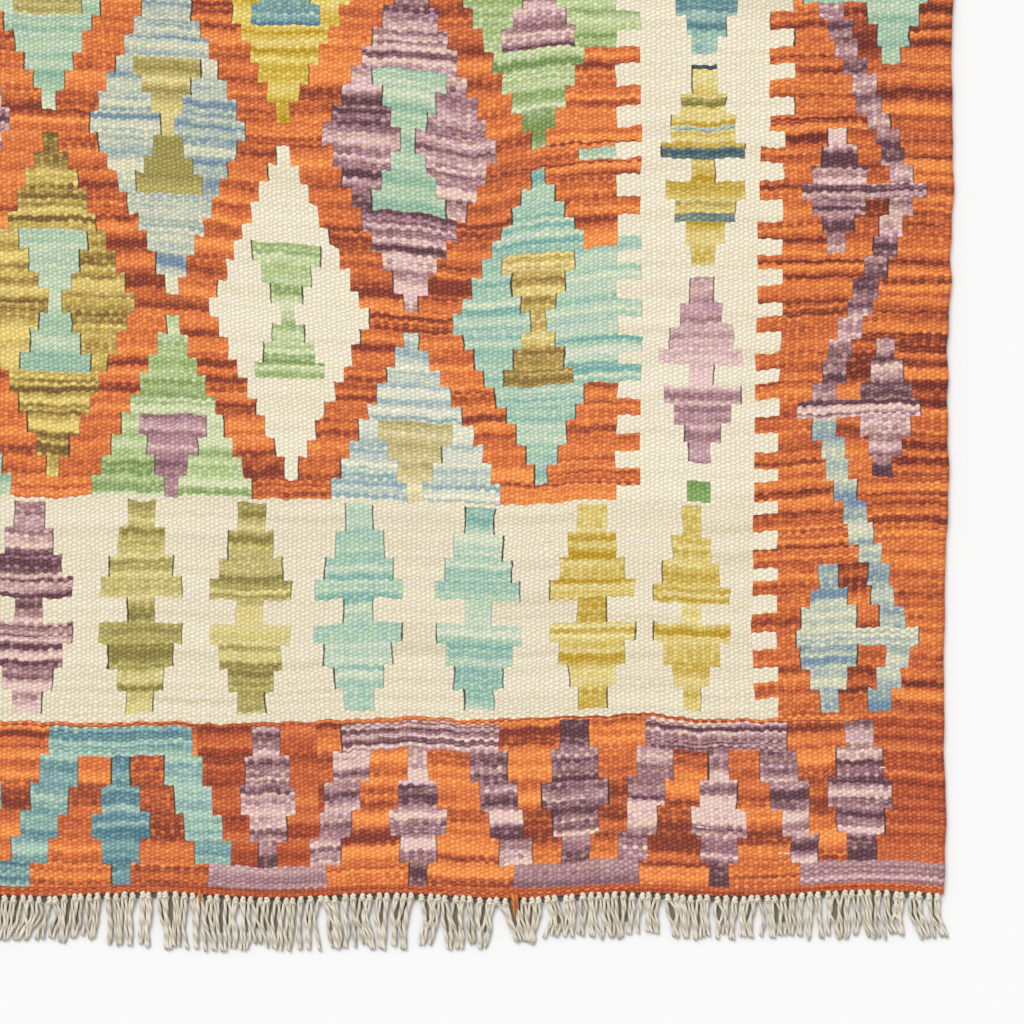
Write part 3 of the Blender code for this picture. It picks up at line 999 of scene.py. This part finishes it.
def weave_material():
    """Weft-faced weave: a bead of weft over each warp, streaked dye and slits at joins; the gaps between
    beads and the slits get painted shade.
    """
    n = Nodes("kilim_weave")
    warp, pick, _ = n.split(n.attribute("threads"))
    across, along = stirred(n, warp, pick)

    # A pick shows over every other warp, so two lattices of tapered beads interlock
    (bead, reach), (other_bead, other_reach) = (
        bead_lattice(n, across, along, first) for first in LATTICE_STARTS
    )
    second = n.math("LESS_THAN", other_reach, reach)
    bead_warp, bead_pick, _ = n.split(n.choose(second, bead, other_bead))
    ends = bead_ends(n, n.minus(across, bead_warp), BEAD_TAPER * END_GAP)
    gap = n.times_plus(n.math("MINIMUM", reach, other_reach), LEVEL_GAP, ends)

    # A bead keeps its colour a little past its own row, so level joins come out scalloped
    place = n.mix_value(JOIN_STRAIGHTNESS, bead_pick, pick)
    low, high, _ = n.split(n.attribute("span"))
    past_top = n.math("GREATER_THAN", place, high)
    past_bottom = n.math("LESS_THAN", place, low)

    def of_row(name):
        """What is stored for the row that the place counts to: its cell's, or the next one's."""
        own = n.choose(past_top, n.attribute(name + "_here"), n.attribute(name + "_above"))
        return n.split(n.choose(past_bottom, own, n.attribute(name + "_below")))

    kind, seed, streaked = of_row("run")
    used, taken, middle = of_row("yarn")

    # The dye changes along the yarn, which each pick carries back or forth
    picks_on = n.minus(place, n.mix_value(past_top, low, high))
    way = n.times_plus(second, -2.0, 1.0)
    length = n.times_plus(taken, picks_on, used)
    length = n.times_plus(way, n.minus(bead_warp, middle), length)
    lane = n.times(seed, LANES_APART)
    tone = n.cloud(n.join(n.times(length, 1.0 / STREAK_WARPS), lane), detail=4.0, roughness=0.58)
    tone = n.times(tone, STREAK_CONTRAST)
    tone = n.times_plus(n.minus(seed, 0.5), BOBBIN_TONE, tone)
    tone = n.times_plus(n.random(n.join(bead_warp, bead_pick)), BEAD_TONE, tone)
    tone = n.times_plus(n.random(n.join(bead_pick, lane)), PICK_TONE, tone)
    tone = n.times_plus(tone, streaked, 0.5)
    dyes = ([linear(YARNS[name][part]) for name in YARN_ORDER] for part in (LIGHT, MIDDLE, DARK))
    colour = n.dyed(tone, *(n.ramp(kind, colours) for colours in dyes))

    # Painted shade: down between beads the colour is deeper and darker, and the beads' middles get a
    # painted highlight; single fibres are lighter or darker
    fibre = n.join(n.times(warp, FIBRE_SIZE), n.times(pick, FIBRE_SIZE))
    fibre = n.cloud(fibre, detail=2.0, roughness=0.7)
    down = n.times_plus(fibre, FIBRE_DEPTH, n.smooth(gap, *GAP_SHADE))
    colour = n.add("ShaderNodeGamma", (colour, n.times_plus(down, *PAINTED_SHADE_POWER))).outputs[0]
    shade = n.times_plus(down, *PAINTED_SHADE_BRIGHTNESS)

    # The dye also turns warmer and cooler
    tint = n.join(n.times(length, 1.0 / TINT_WARPS), lane, TINT_LAYER)
    tint = n.times(n.cloud(tint, detail=2.0, roughness=0.6), TINT_CONTRAST)
    by_bead = n.random(n.join(bead_pick, bead_warp, BEAD_TINT_LAYER))
    tint = n.times_plus(by_bead, BEAD_TINT, tint)
    tint = n.times(tint, streaked)
    shades = [n.times(shade, n.times_plus(tint, turn, 1.0)) for turn in TINT_TURNS]
    colour = n.mix(1.0, colour, n.join(*shades), "MULTIPLY")
    # Painted shade in the slits: their colour turns to the dark of their gap
    slit = slit_mask(n, warp, pick, lane)
    n.surface(n.mix(slit, colour, linear(SLIT_SHADE_COLOUR)), roughness=0.88, specular=0.25)
    n.shader.inputs["Sheen Weight"].default_value = 0.12
    n.shader.inputs["Sheen Roughness"].default_value = 0.5
    height = n.times_plus(fibre, FIBRE_HEIGHT, n.smooth(gap, *GAP_HEIGHT))
    height = n.times_plus(slit, SLIT_DEPTH, height)
    n.bump(height, distance=0.0006, strength=0.50)
    return n.material


FIBRE_STARTS = 3.0      # fibres round a strand
FIBRES_PER_METRE = 900.0   # that pass a line along it
CLOUDS_PER_METRE = 260.0
CLOUDS_APART = 57.0     # keeps the clouds of two strands different
# How much fibres, the strand's own shade and clouds change the tone
FIBRE_TONE = 0.08
STRAND_TONE = 0.40
CLOUD_TONE = 0.45
TONE_START = 0.145
FLOOR_SHADE = 0.30      # brightness down on the floor, and in the groove between plies
GROOVE_SHADE = 0.62
SHADE_TINTS = (1.0, 0.985, 0.955)


def cotton_material(name, light, middle, dark):
    """Two-ply yarn: fibres that wind round the strand, darker down in the shade."""
    n = Nodes(name)
    turn, along, shade = n.split(n.attribute("strand"))
    raised, ply, _ = n.split(n.attribute("relief"))
    wound = n.times_plus(turn, FIBRE_STARTS, n.times(along, FIBRES_PER_METRE))
    fibre = n.math("SINE", n.times(wound, 2.0 * math.pi))
    place = n.join(turn, n.times(along, CLOUDS_PER_METRE), n.times(shade, CLOUDS_APART))
    tone = n.times_plus(shade, STRAND_TONE, TONE_START)
    tone = n.times_plus(fibre, FIBRE_TONE, tone)
    cloud = n.cloud(place, detail=3.0, roughness=0.6)
    tone = n.times_plus(cloud, CLOUD_TONE, tone, clamp=True)
    colour = n.dyed(tone, linear(light), linear(middle), linear(dark))
    above_floor = n.smooth(raised, 0.0, 1.0, FLOOR_SHADE, 1.0)
    lit = n.times(above_floor, n.smooth(ply, 0.0, 1.0, GROOVE_SHADE, 1.0))
    shades = [n.times(lit, tint) for tint in SHADE_TINTS]
    colour = n.mix(1.0, colour, n.join(*shades), "MULTIPLY")
    n.surface(colour, roughness=0.85, specular=0.25)
    n.bump(fibre, distance=0.00012, strength=0.6)
    return n.material


def floor_material():
    n = Nodes("pale_floor")
    n.surface(FLOOR_COLOUR, roughness=0.9, specular=0.0)
    return n.material


# ---------------------------------------------------------------- fringe
KNOTS = 182
KNOT_REACH = 0.0016     # from the panel's end to a knot's middle
KNOT_HEIGHT = 0.0030
LOOP_WIDE = 0.00138     # half-width and half-height of a knot's two loops
LOOP_TALL = 0.00128
LOOP_STEPS = 10
THIN_SIDES = 6          # sides of the tubes of knots and slubs
STRAND_RADIUS = 0.00116
STRAND_SIDES = 8
STRAND_RINGS = 17
DARK_BELOW = 0.0004     # heights between which yarn passes from full shade into the light
LIT_ABOVE = 0.0021
DIM_SHADE = 0.8         # tone of the painted shade seen between the knots and between strands
DIM_PLY = 0.2           # how light it is, between a groove's 0 and a ply's 1
# Bunches of the near fringe from left to right, in photo pixels: where its roots stop and the next
# one's start, between which places its strands lie half-way and at the tips, and how low they reach
FIRST_ROOT = -4
BUNCH_COLUMNS = ("roots_stop", "halfway", "tips", "lowest")
NEAR_BUNCHES = [dict(zip(BUNCH_COLUMNS, row)) for row in (
    (24, (-6, 20), (-8, 11), 942), (38, (24, 34), (13, 22), 942), (52, (38, 48), (25, 41), 941),
    (87, (54, 83), (50, 78), 943), (103, (89, 99), (84, 94), 941), (158, (105, 153), (104, 154), 948),
    (184, (163, 181), (165, 180), 950), (200, (183, 199), (188, 200), 951),
    (250, (199, 249), (203, 248), 952), (262, (253, 260), (252, 262), 947),
    (320, (261, 315), (263, 318), 951), (351, (329, 349), (332, 347), 952),
    (415, (351, 409), (359, 407), 950), (441, (421, 438), (417, 431), 950),
    (468, (443, 467), (446, 466), 953), (498, (468, 492), (472, 489), 949),
    (543, (505, 540), (513, 536), 945), (583, (548, 582), (547, 579), 939),
    (600, (586, 597), (583, 602), 940), (643, (601, 641), (605, 639), 939),
    (660, (644, 656), (648, 658), 936), (709, (666, 706), (669, 705), 940),
    (758, (712, 752), (710, 753), 940), (816, (761, 815), (761, 815), 940),
    (851, (816, 849), (817, 849), 939), (861, (853, 859), (853, 859), 939),
    (885, (862, 883), (869, 886), 940), (904, (887, 902), (894, 903), 937),
    (909, (904, 908), (903, 907), 935), (946, (912, 945), (919, 953), 940),
)]
# The waves that bunch the strands elsewhere: size and length, and what makes each one uneven
PLAIN_WAVES = (
    {"size": 0.0034, "length": 0.047, "bend": 1.3, "rate": 31.0},
    {"size": 0.0013, "length": 0.017, "bend": 2.1, "rate": 17.0},
)
PLAIN_HALFWAY = 0.6     # how much of a wave a strand has followed half-way down
CORNER_FLARE = 0.004    # how far the last strands spread at a corner, and over which width
FLARE_WIDTH = 0.01
LONG_STRETCH_HALF = 0.125   # half of the stretch where the strands are longest
TRIM_DEPTH = 0.0085     # how much shorter they are elsewhere


def near_course(root):
    """Where a near-end strand lies half-way down and at its tip, how far out, and its bunch."""
    pixel = PHOTO_CENTRE_LINE + root / PHOTO_SCALE
    stop = FIRST_ROOT
    for number, bunch in enumerate(NEAR_BUNCHES):
        start, stop = stop, bunch["roots_stop"]
        if start <= pixel < stop:
            share = (pixel - start) / (stop - start)
            halfway, tip = (
                (low + (high - low) * share - PHOTO_CENTRE_LINE) * PHOTO_SCALE
                for low, high in (bunch["halfway"], bunch["tips"])
            )
            reach = 0.5 * PANEL_LENGTH + (bunch["lowest"] - PHOTO_END_LINE) * PHOTO_SCALE
            return halfway, tip, reach, number
    return plain_course(root, -1)


def plain_course(root, side=1):
    """The same where the photo doesn't show the fringe: bunches of uneven width."""
    moved = 0.0
    for row in PLAIN_WAVES:
        phase = 2.0 * math.pi * root / row["length"] + row["bend"] * math.sin(root * row["rate"])
        moved += row["size"] * math.sin(phase)
    edge = side_reach(0.5 * PANEL_LENGTH) - abs(root)
    flare = math.copysign(CORNER_FLARE * math.exp(-edge / FLARE_WIDTH), root)
    stretch = math.exp(-((root - ENDS[side]["long_at"]) / LONG_STRETCH_HALF) ** 4)
    reach = 0.5 * RUG_LENGTH - TRIM_DEPTH * (1.0 - stretch)
    return root + PLAIN_HALFWAY * moved, root + moved + flare, reach, None


class Tubes:
    """Collects tubes and rings as one mesh, with what their material reads at each point."""

    def __init__(self):
        self.points = []
        self.faces = []
        self.strand = []
        self.ply = []

    def sweep(self, centres, frames, radii, shade, closed=False, waist=0.0, twist=0.0, sides=STRAND_SIDES):
        """A tube through centres. A waist and a twist make it two plies wound together."""
        first = len(self.points)
        travelled = 0.0
        count = len(centres)
        for ring, (centre, (across, up), radius) in enumerate(zip(centres, frames, radii)):
            if ring:
                travelled += float(np.linalg.norm(centre - centres[ring - 1]))
            for side in range(sides):
                angle = 2.0 * math.pi * side / sides
                swell = math.cos(2.0 * (angle - twist * travelled)) if waist else 1.0
                reach = radius * (1.0 + waist * swell)
                self.points.append(centre + reach * (math.cos(angle) * across + math.sin(angle) * up))
                self.strand.append((side / sides, travelled, shade))
                self.ply.append(0.5 + 0.5 * swell)
        for ring in range(count if closed else count - 1):
            here = first + ring * sides
            there = first + ((ring + 1) % count) * sides
            for side in range(sides):
                after = (side + 1) % sides
                self.faces.append((here + side, here + after, there + after, there + side))
        if not closed:
            self.faces.append(tuple(first + side for side in reversed(range(sides))))
            self.faces.append(tuple(first + (count - 1) * sides + side for side in range(sides)))

    def ring(self, centre, normal, across, thick, shade):
        """A closed loop of yarn round a knot."""
        up = np.cross(normal, across)
        centres, frames = [], []
        for step in range(LOOP_STEPS):
            angle = 2.0 * math.pi * step / LOOP_STEPS
            beside, above = math.cos(angle) * across, math.sin(angle) * up
            centres.append(centre + LOOP_WIDE * beside + LOOP_TALL * above)
            frames.append((beside + above, normal))
        radii = [thick] * LOOP_STEPS
        self.sweep(centres, frames, radii, shade, closed=True, sides=THIN_SIDES)

    def band(self, inner, outer, height):
        """A flat band of painted shade between two rows of places."""
        first = len(self.points)
        for near, far in zip(inner, outer):
            for place in (near, far):
                self.points.append(np.array([*place, height]))
                self.strand.append((0.0, place[0], DIM_SHADE))
                self.ply.append(DIM_PLY)
        for step in range(len(inner) - 1):
            at = first + 2 * step
            self.faces.append((at, at + 1, at + 3, at + 2))

    def finish(self, name, material):
        points = np.array(self.points)
        points[:, 2] = np.maximum(points[:, 2], 0.0)
        raised = np.clip((points[:, 2] - DARK_BELOW) / (LIT_ABOVE - DARK_BELOW), 0.0, 1.0)
        mesh = bpy.data.meshes.new(name)
        mesh.from_pydata(points.tolist(), [], self.faces)
        store(mesh, "strand", "POINT", np.array(self.strand))
        store(mesh, "relief", "POINT", np.stack([raised, self.ply, 0.0 * raised], axis=-1))
        mesh.materials.append(material)
        mesh.shade_smooth()
        return in_scene(name, mesh)


UP = np.array([0.0, 0.0, 1.0])


def unit(vector):
    return vector / np.linalg.norm(vector)


CLUMP = 0.0062          # strands within this width are drawn together towards their tips
CLUMP_CUT = 0.0030      # how much shorter than the longest a clump may be cut
CLUMP_CUT_RARITY = 1.6
CLUMP_ROUND = 0.0009    # how much shorter a clump's outer strands are

def gathered(place, pull):
    """A place across the fringe, drawn towards the middle of its clump."""
    return place + pull * (CLUMP * (math.floor(place / CLUMP) + 0.5) - place)


def clump_trim(tip):
    """How much shorter than the longest a tip is cut: clumps differ, and each one is rounded."""
    number = math.floor(tip / CLUMP)
    across = 2.0 * (tip / CLUMP - number) - 1.0
    cut = CLUMP_CUT * random.Random(SEEDS["clumps"] + number).random() ** CLUMP_CUT_RARITY
    return cut + CLUMP_ROUND * across * across


BUNCH_MIDDLE = 0.45     # how far down a strand its bunch is narrowest
EARLY_BEND = 0.65       # how much of its way into the bunch it has gone at half of that
REST_HEIGHT = 1.05 * STRAND_RADIUS   # of a strand's middle on the floor
FALL = 6.0              # how soon a strand comes down to it
UNEVEN_SIZE = 0.06      # how much a strand's radius changes from ring to ring, and how quickly
UNEVEN_RATE = 5.0
TIP_SIZE = 0.92

def strand_path(root, halfway, tip, root_reach, tip_reach, side, lift, sway):
    """Points of a strand from its knot down to the floor and out to its cut tip."""
    shares = np.linspace(0.0, 1.0, STRAND_RINGS)
    early = root + EARLY_BEND * (halfway - root)
    x = np.interp(shares, (0.0, 0.5 * BUNCH_MIDDLE, BUNCH_MIDDLE, 1.0), (root, early, halfway, tip))
    for _ in range(2):   # smooth its bends
        x[1:-1] = 0.25 * x[:-2] + 0.5 * x[1:-1] + 0.25 * x[2:]
    x += sway * np.sin(2.0 * math.pi * shares) * np.sin(math.pi * shares)
    reach = root_reach + (tip_reach - root_reach) * shares
    z = REST_HEIGHT + (KNOT_HEIGHT - REST_HEIGHT) * np.exp(-FALL * shares)
    z += lift * np.sin(math.pi * shares) ** 2
    return list(np.stack([x, side * reach, z], axis=-1))


def strand_radii(size, knot):
    """A strand's radius at each ring: slightly uneven, and smaller at the cut tip."""
    waves = [math.sin(UNEVEN_RATE * ring + knot) for ring in range(STRAND_RINGS)]
    radii = [size * (1.0 + UNEVEN_SIZE * wave) for wave in waves]
    radii[-1] *= TIP_SIZE
    return radii


def path_frames(centres):
    frames = []
    for index in range(len(centres)):
        ahead = centres[min(index + 1, len(centres) - 1)]
        behind = centres[max(index - 1, 0)]
        forward = unit(ahead - behind)
        across = unit(np.cross(forward, UP))
        frames.append((across, np.cross(across, forward)))
    return frames


# Of a knot's loops: how far they stand off its middle, how thick their yarn is, how they lean
# aside and forward, and the second one's lean as a share of the first one's
LOOP_OFFSET = 0.0008
LOOP_THICK = (0.00080, 0.00100)
LOOP_TILT = (0.25, 0.7)
LOOP_NOD = (-0.2, 0.2)
SECOND_TILT = -0.8
# A knot's core: places along the strand, from the knot's middle, and radii there
CORE_PLACES = (-0.0028, -0.0012, 0.0, 0.0012, 0.0026)
CORE_RADII = (0.0010, 0.0016, 0.0019, 0.0018, 0.0012)
KNOT_SHADE = 0.15       # a knot's least shade, and how far knots differ
KNOT_SHADE_SPREAD = 0.6

def add_knot(tubes, x, reach, side, rng):
    """An overhand knot: two crossing loops round a small core."""
    tilt = rng.uniform(*LOOP_TILT) * rng.choice((-1, 1))
    shade = KNOT_SHADE + KNOT_SHADE_SPREAD * rng.random()
    for step, lean in ((-1, tilt), (1, SECOND_TILT * tilt)):
        centre = np.array([x, side * (reach + LOOP_OFFSET * step), KNOT_HEIGHT])
        normal = unit(np.array([math.sin(lean), math.cos(lean), rng.uniform(*LOOP_NOD)]))
        across = unit(np.cross(normal, UP))
        tubes.ring(centre, normal, across, rng.uniform(*LOOP_THICK), shade)
    core = [np.array([x, side * (reach + place), KNOT_HEIGHT]) for place in CORE_PLACES]
    tubes.sweep(core, path_frames(core), CORE_RADII, shade, sides=THIN_SIDES)


# Bands of painted shade: under the panel's edge between the knots, and between strands of a bunch
DIM_WARPS = 160
DIM_INSET = 0.003       # from the panel's side
DIM_REACH = (-0.003, 0.0038)   # from the panel's end, inwards and outwards
DIM_WARP_HEIGHT = 0.0007
SHADE_BETWEEN_STRANDS_HEIGHT = 0.0008

def add_shaded_warps(tubes, side):
    """A band of painted shade for the warps seen between the knots, in shadow close under the panel's
    edge.
    """
    half = side_reach(0.5 * PANEL_LENGTH) - DIM_INSET
    places = np.linspace(-half, half, DIM_WARPS)
    edge = end_reach(places, side)
    rows = [[(x, side * (reach + off)) for x, reach in zip(places, edge)] for off in DIM_REACH]
    tubes.band(*rows[::side], DIM_WARP_HEIGHT)


def add_shade_between_strands(tubes, first, second, side):
    """A flat band of painted shade on the floor between two strands of one bunch."""
    last = (2 * len(first)) // 3
    rows = [[(place[0], place[1]) for place in strand[:last]] for strand in (first, second)]
    tubes.band(*rows[::-side], SHADE_BETWEEN_STRANDS_HEIGHT)


CORNER_INSET = 0.0020   # from the panel's side to the outer edge of the row of knots
STRAND_START = 0.0010   # from a knot's middle
STRAND_WAIST = 0.18     # how far a strand's two plies part
TWIST_LENGTH = 0.0090
HALFWAY_PULL = 0.3      # how strongly its clump draws a strand in, half-way and at the tip
TIP_PULL = 0.5
BUNCH_GAP = 0.0036      # tips further apart than this belong to different bunches
# How unevenly the fringe is made; the first two are shares of the pitch of the knots
PLACE_SHARE = 0.20
STRAND_SHARE = 0.20     # how far a knot's two strands stand off its middle
REACH_SPREAD = (-0.0006, 0.0009)
CUT_SPREAD = (-0.0006, 0.0008)
SIZE_SPREAD = (0.92, 1.1)
HALFWAY_SPREAD = 0.0008
TIP_SPREAD = 0.0010
SWAY_SPREAD = 0.0009
MOST_LIFT = 0.0012

def build_fringe(name, side, material):
    rng = random.Random(SEEDS["fringe"] + side)
    tubes = Tubes()
    half = side_reach(0.5 * PANEL_LENGTH) - CORNER_INSET
    pitch = 2.0 * half / KNOTS
    twist = math.pi / TWIST_LENGTH
    course = near_course if side < 0 else plain_course
    add_shaded_warps(tubes, side)
    before = None
    for knot in range(KNOTS):
        x = -half + (knot + 0.5) * pitch + rng.uniform(-PLACE_SHARE, PLACE_SHARE) * pitch
        reach = float(end_reach(x, side)) + KNOT_REACH + rng.uniform(*REACH_SPREAD)
        add_knot(tubes, x, reach, side, rng)
        for share in (-STRAND_SHARE, STRAND_SHARE):
            root = x + share * pitch
            halfway, tip, tip_reach, bunch = course(root)
            halfway = gathered(halfway, HALFWAY_PULL) + rng.gauss(0.0, HALFWAY_SPREAD)
            tip = gathered(tip, TIP_PULL) + rng.gauss(0.0, TIP_SPREAD)
            tip_reach = tip_reach - clump_trim(tip) - rng.uniform(*CUT_SPREAD)
            lift = rng.uniform(0.0, MOST_LIFT)
            sway = rng.gauss(0.0, SWAY_SPREAD)
            start = reach + STRAND_START
            centres = strand_path(root, halfway, tip, start, tip_reach, side, lift, sway)
            radii = strand_radii(STRAND_RADIUS * rng.uniform(*SIZE_SPREAD), knot)
            frames = path_frames(centres)
            tubes.sweep(centres, frames, radii, rng.random(), waist=STRAND_WAIST, twist=twist)
            if before is not None and before[1] == bunch and abs(tip - before[2]) < BUNCH_GAP:
                add_shade_between_strands(tubes, before[0], centres, side)
            before = (centres, bunch, tip)
    return tubes.finish(name, material)


# Loose weft ends that hang over the near fringe: photo pixel along the end, length, lean, radius
LOOSE_ENDS = (
    {"pixel": 513.0, "length": 0.0150, "lean": 0.0012, "radius": 0.0014},
    {"pixel": 516.5, "length": 0.0125, "lean": 0.0004, "radius": 0.0011},
    {"pixel": 200.0, "length": 0.0100, "lean": 0.0002, "radius": 0.0012},
)
LOOSE_START = -0.003    # from the panel's end, where a loose end comes out of the cloth
LOOSE_STEPS = 8
LOOSE_HEIGHT = {"start": 0.0042, "arch": 0.0018, "arch_rate": 1.6, "fall": 0.0010}
LOOSE_TAPER = 0.75      # how much thinner its tip is
LOOSE_PLIES = {"waist": 0.15, "twist": 600.0}
LOOSE_SHADE = (0.2, 0.25)   # the first one's, and how much darker each next one is


def build_loose_ends(material):
    tubes = Tubes()
    shares = [step / LOOSE_STEPS for step in range(LOOSE_STEPS + 1)]
    for number, row in enumerate(LOOSE_ENDS):
        x = (row["pixel"] - PHOTO_CENTRE_LINE) * PHOTO_SCALE
        reach = float(end_reach(x, -1)) + LOOSE_START
        centres = []
        for share in shares:
            bend = math.pi * min(share * LOOSE_HEIGHT["arch_rate"], 1.0)
            z = LOOSE_HEIGHT["start"] + LOOSE_HEIGHT["arch"] * math.sin(bend)
            z -= LOOSE_HEIGHT["fall"] * share
            place = (x + row["lean"] * share, -(reach + row["length"] * share), z)
            centres.append(np.array(place))
        radii = [row["radius"] * (1.0 - LOOSE_TAPER * share ** 2) for share in shares]
        shade = LOOSE_SHADE[0] + LOOSE_SHADE[1] * number
        tubes.sweep(centres, path_frames(centres), radii, shade, **LOOSE_PLIES)
    return tubes.finish("loose_weft_ends", material)


# Bits of white warp that show on the face: photo pixels of their middle, and length
SLUBS = (
    {"pixel": (883.0, 767.5), "length": 0.0042}, {"pixel": (787.0, 853.5), "length": 0.0052},
    {"pixel": (780.0, 853.5), "length": 0.0030}, {"pixel": (700.0, 827.0), "length": 0.0055},
    {"pixel": (707.5, 828.0), "length": 0.0026}, {"pixel": (647.0, 855.0), "length": 0.0028},
)
SLUB_RADII = (0.0002, 0.0005, 0.0006, 0.0005, 0.0002)
SLUB_RISE = 0.0005      # of a slub's middle over the face
SLUB_ARCH = 0.0010      # how much its ends bend down
SLUB_SLANT = 0.0006
SLUB_SHADE = 0.1        # the first one's; each next one is as much darker


def build_slubs(material):
    tubes = Tubes()
    for number, row in enumerate(SLUBS):
        x, y = photo_place(*row["pixel"])
        centres = []
        for step in range(len(SLUB_RADII)):
            share = step / (len(SLUB_RADII) - 1) - 0.5
            place = (x + row["length"] * share, y - SLUB_SLANT * share)
            height = float(panel_top(*place)) + SLUB_RISE - SLUB_ARCH * share * share
            centres.append(np.array([*place, height]))
        shade = SLUB_SHADE * (1 + number)
        tubes.sweep(centres, path_frames(centres), SLUB_RADII, shade, sides=THIN_SIDES)
    return tubes.finish("white_slubs", material)


# ---------------------------------------------------------------- camera, light and floor
LENS = 135.0
SENSOR = 36.0
SKY_STRENGTH = 0.60
KEY_STRENGTH = 1.75
KEY_SPREAD = 35.0       # degrees
KEY_TURN = (-32.0, -24.0, 0.0)
FLOOR_COLOUR = (0.93, 0.93, 0.93, 1.0)
FLOOR_HALF = 20.0
FLOOR_DROP = 0.0003     # keeps the floor clear of the rug's underside


def photo_place(pixel_x, pixel_y):
    """The place on the rug that a photo pixel shows."""
    x = (pixel_x - PHOTO_CENTRE_LINE) * PHOTO_SCALE
    y = -0.5 * PANEL_LENGTH + (PHOTO_END_LINE - pixel_y) * PHOTO_SCALE
    return x, y


def add_camera():
    data = bpy.data.cameras.new("camera")
    data.lens = LENS
    data.sensor_width = SENSOR
    distance = PHOTO_SIDE * PHOTO_SCALE * LENS / SENSOR
    camera = in_scene("camera", data)
    camera.location = (*photo_place(0.5 * PHOTO_SIDE, 0.5 * PHOTO_SIDE), PANEL_THICKNESS + distance)
    bpy.context.scene.camera = camera


def add_light():
    world = bpy.data.worlds.new("studio")
    bpy.context.scene.world = world
    world.use_nodes = True
    background = world.node_tree.nodes["Background"]
    background.inputs["Color"].default_value = (1.0, 1.0, 1.0, 1.0)
    background.inputs["Strength"].default_value = SKY_STRENGTH
    data = bpy.data.lights.new("soft_key", "SUN")
    data.energy = KEY_STRENGTH
    data.angle = math.radians(KEY_SPREAD)
    in_scene("soft_key", data).rotation_euler = [math.radians(angle) for angle in KEY_TURN]


def add_floor():
    mesh = bpy.data.meshes.new("floor")
    corners = ((-1, -1), (1, -1), (1, 1), (-1, 1))
    points = [(FLOOR_HALF * x, FLOOR_HALF * y, -FLOOR_DROP) for x, y in corners]
    mesh.from_pydata(points, [], [(0, 1, 2, 3)])
    mesh.materials.append(floor_material())
    in_scene("floor", mesh)


# ---------------------------------------------------------------- the rug
def build_rug():
    paint_chart()
    grid = chart.grid()
    weave = weave_material()
    face = cloth_mesh("woven_face", *grid, face_up=True)
    back = cloth_mesh("woven_back", *grid, face_up=False)
    for sheet in (face, back):
        sheet.data.materials.append(weave)
    cotton = cotton_material("warp_cotton", *COTTON)
    wool = cotton_material("loose_wool", *YARNS["orange"][:STREAKED])
    near = build_fringe("knotted_fringe_near", -1, cotton)
    far = build_fringe("knotted_fringe_far", 1, cotton)
    loose = build_loose_ends(wool)
    slubs = build_slubs(cotton)
    for piece in (face, back, near, far, loose, slubs):
        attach(piece, "root")
    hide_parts("woven_panel")
    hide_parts("fringe_near")
    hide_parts("fringe_far")


build_rug()
add_camera()
add_light()
add_floor()
bpy.context.scene.view_settings.view_transform = "Standard"
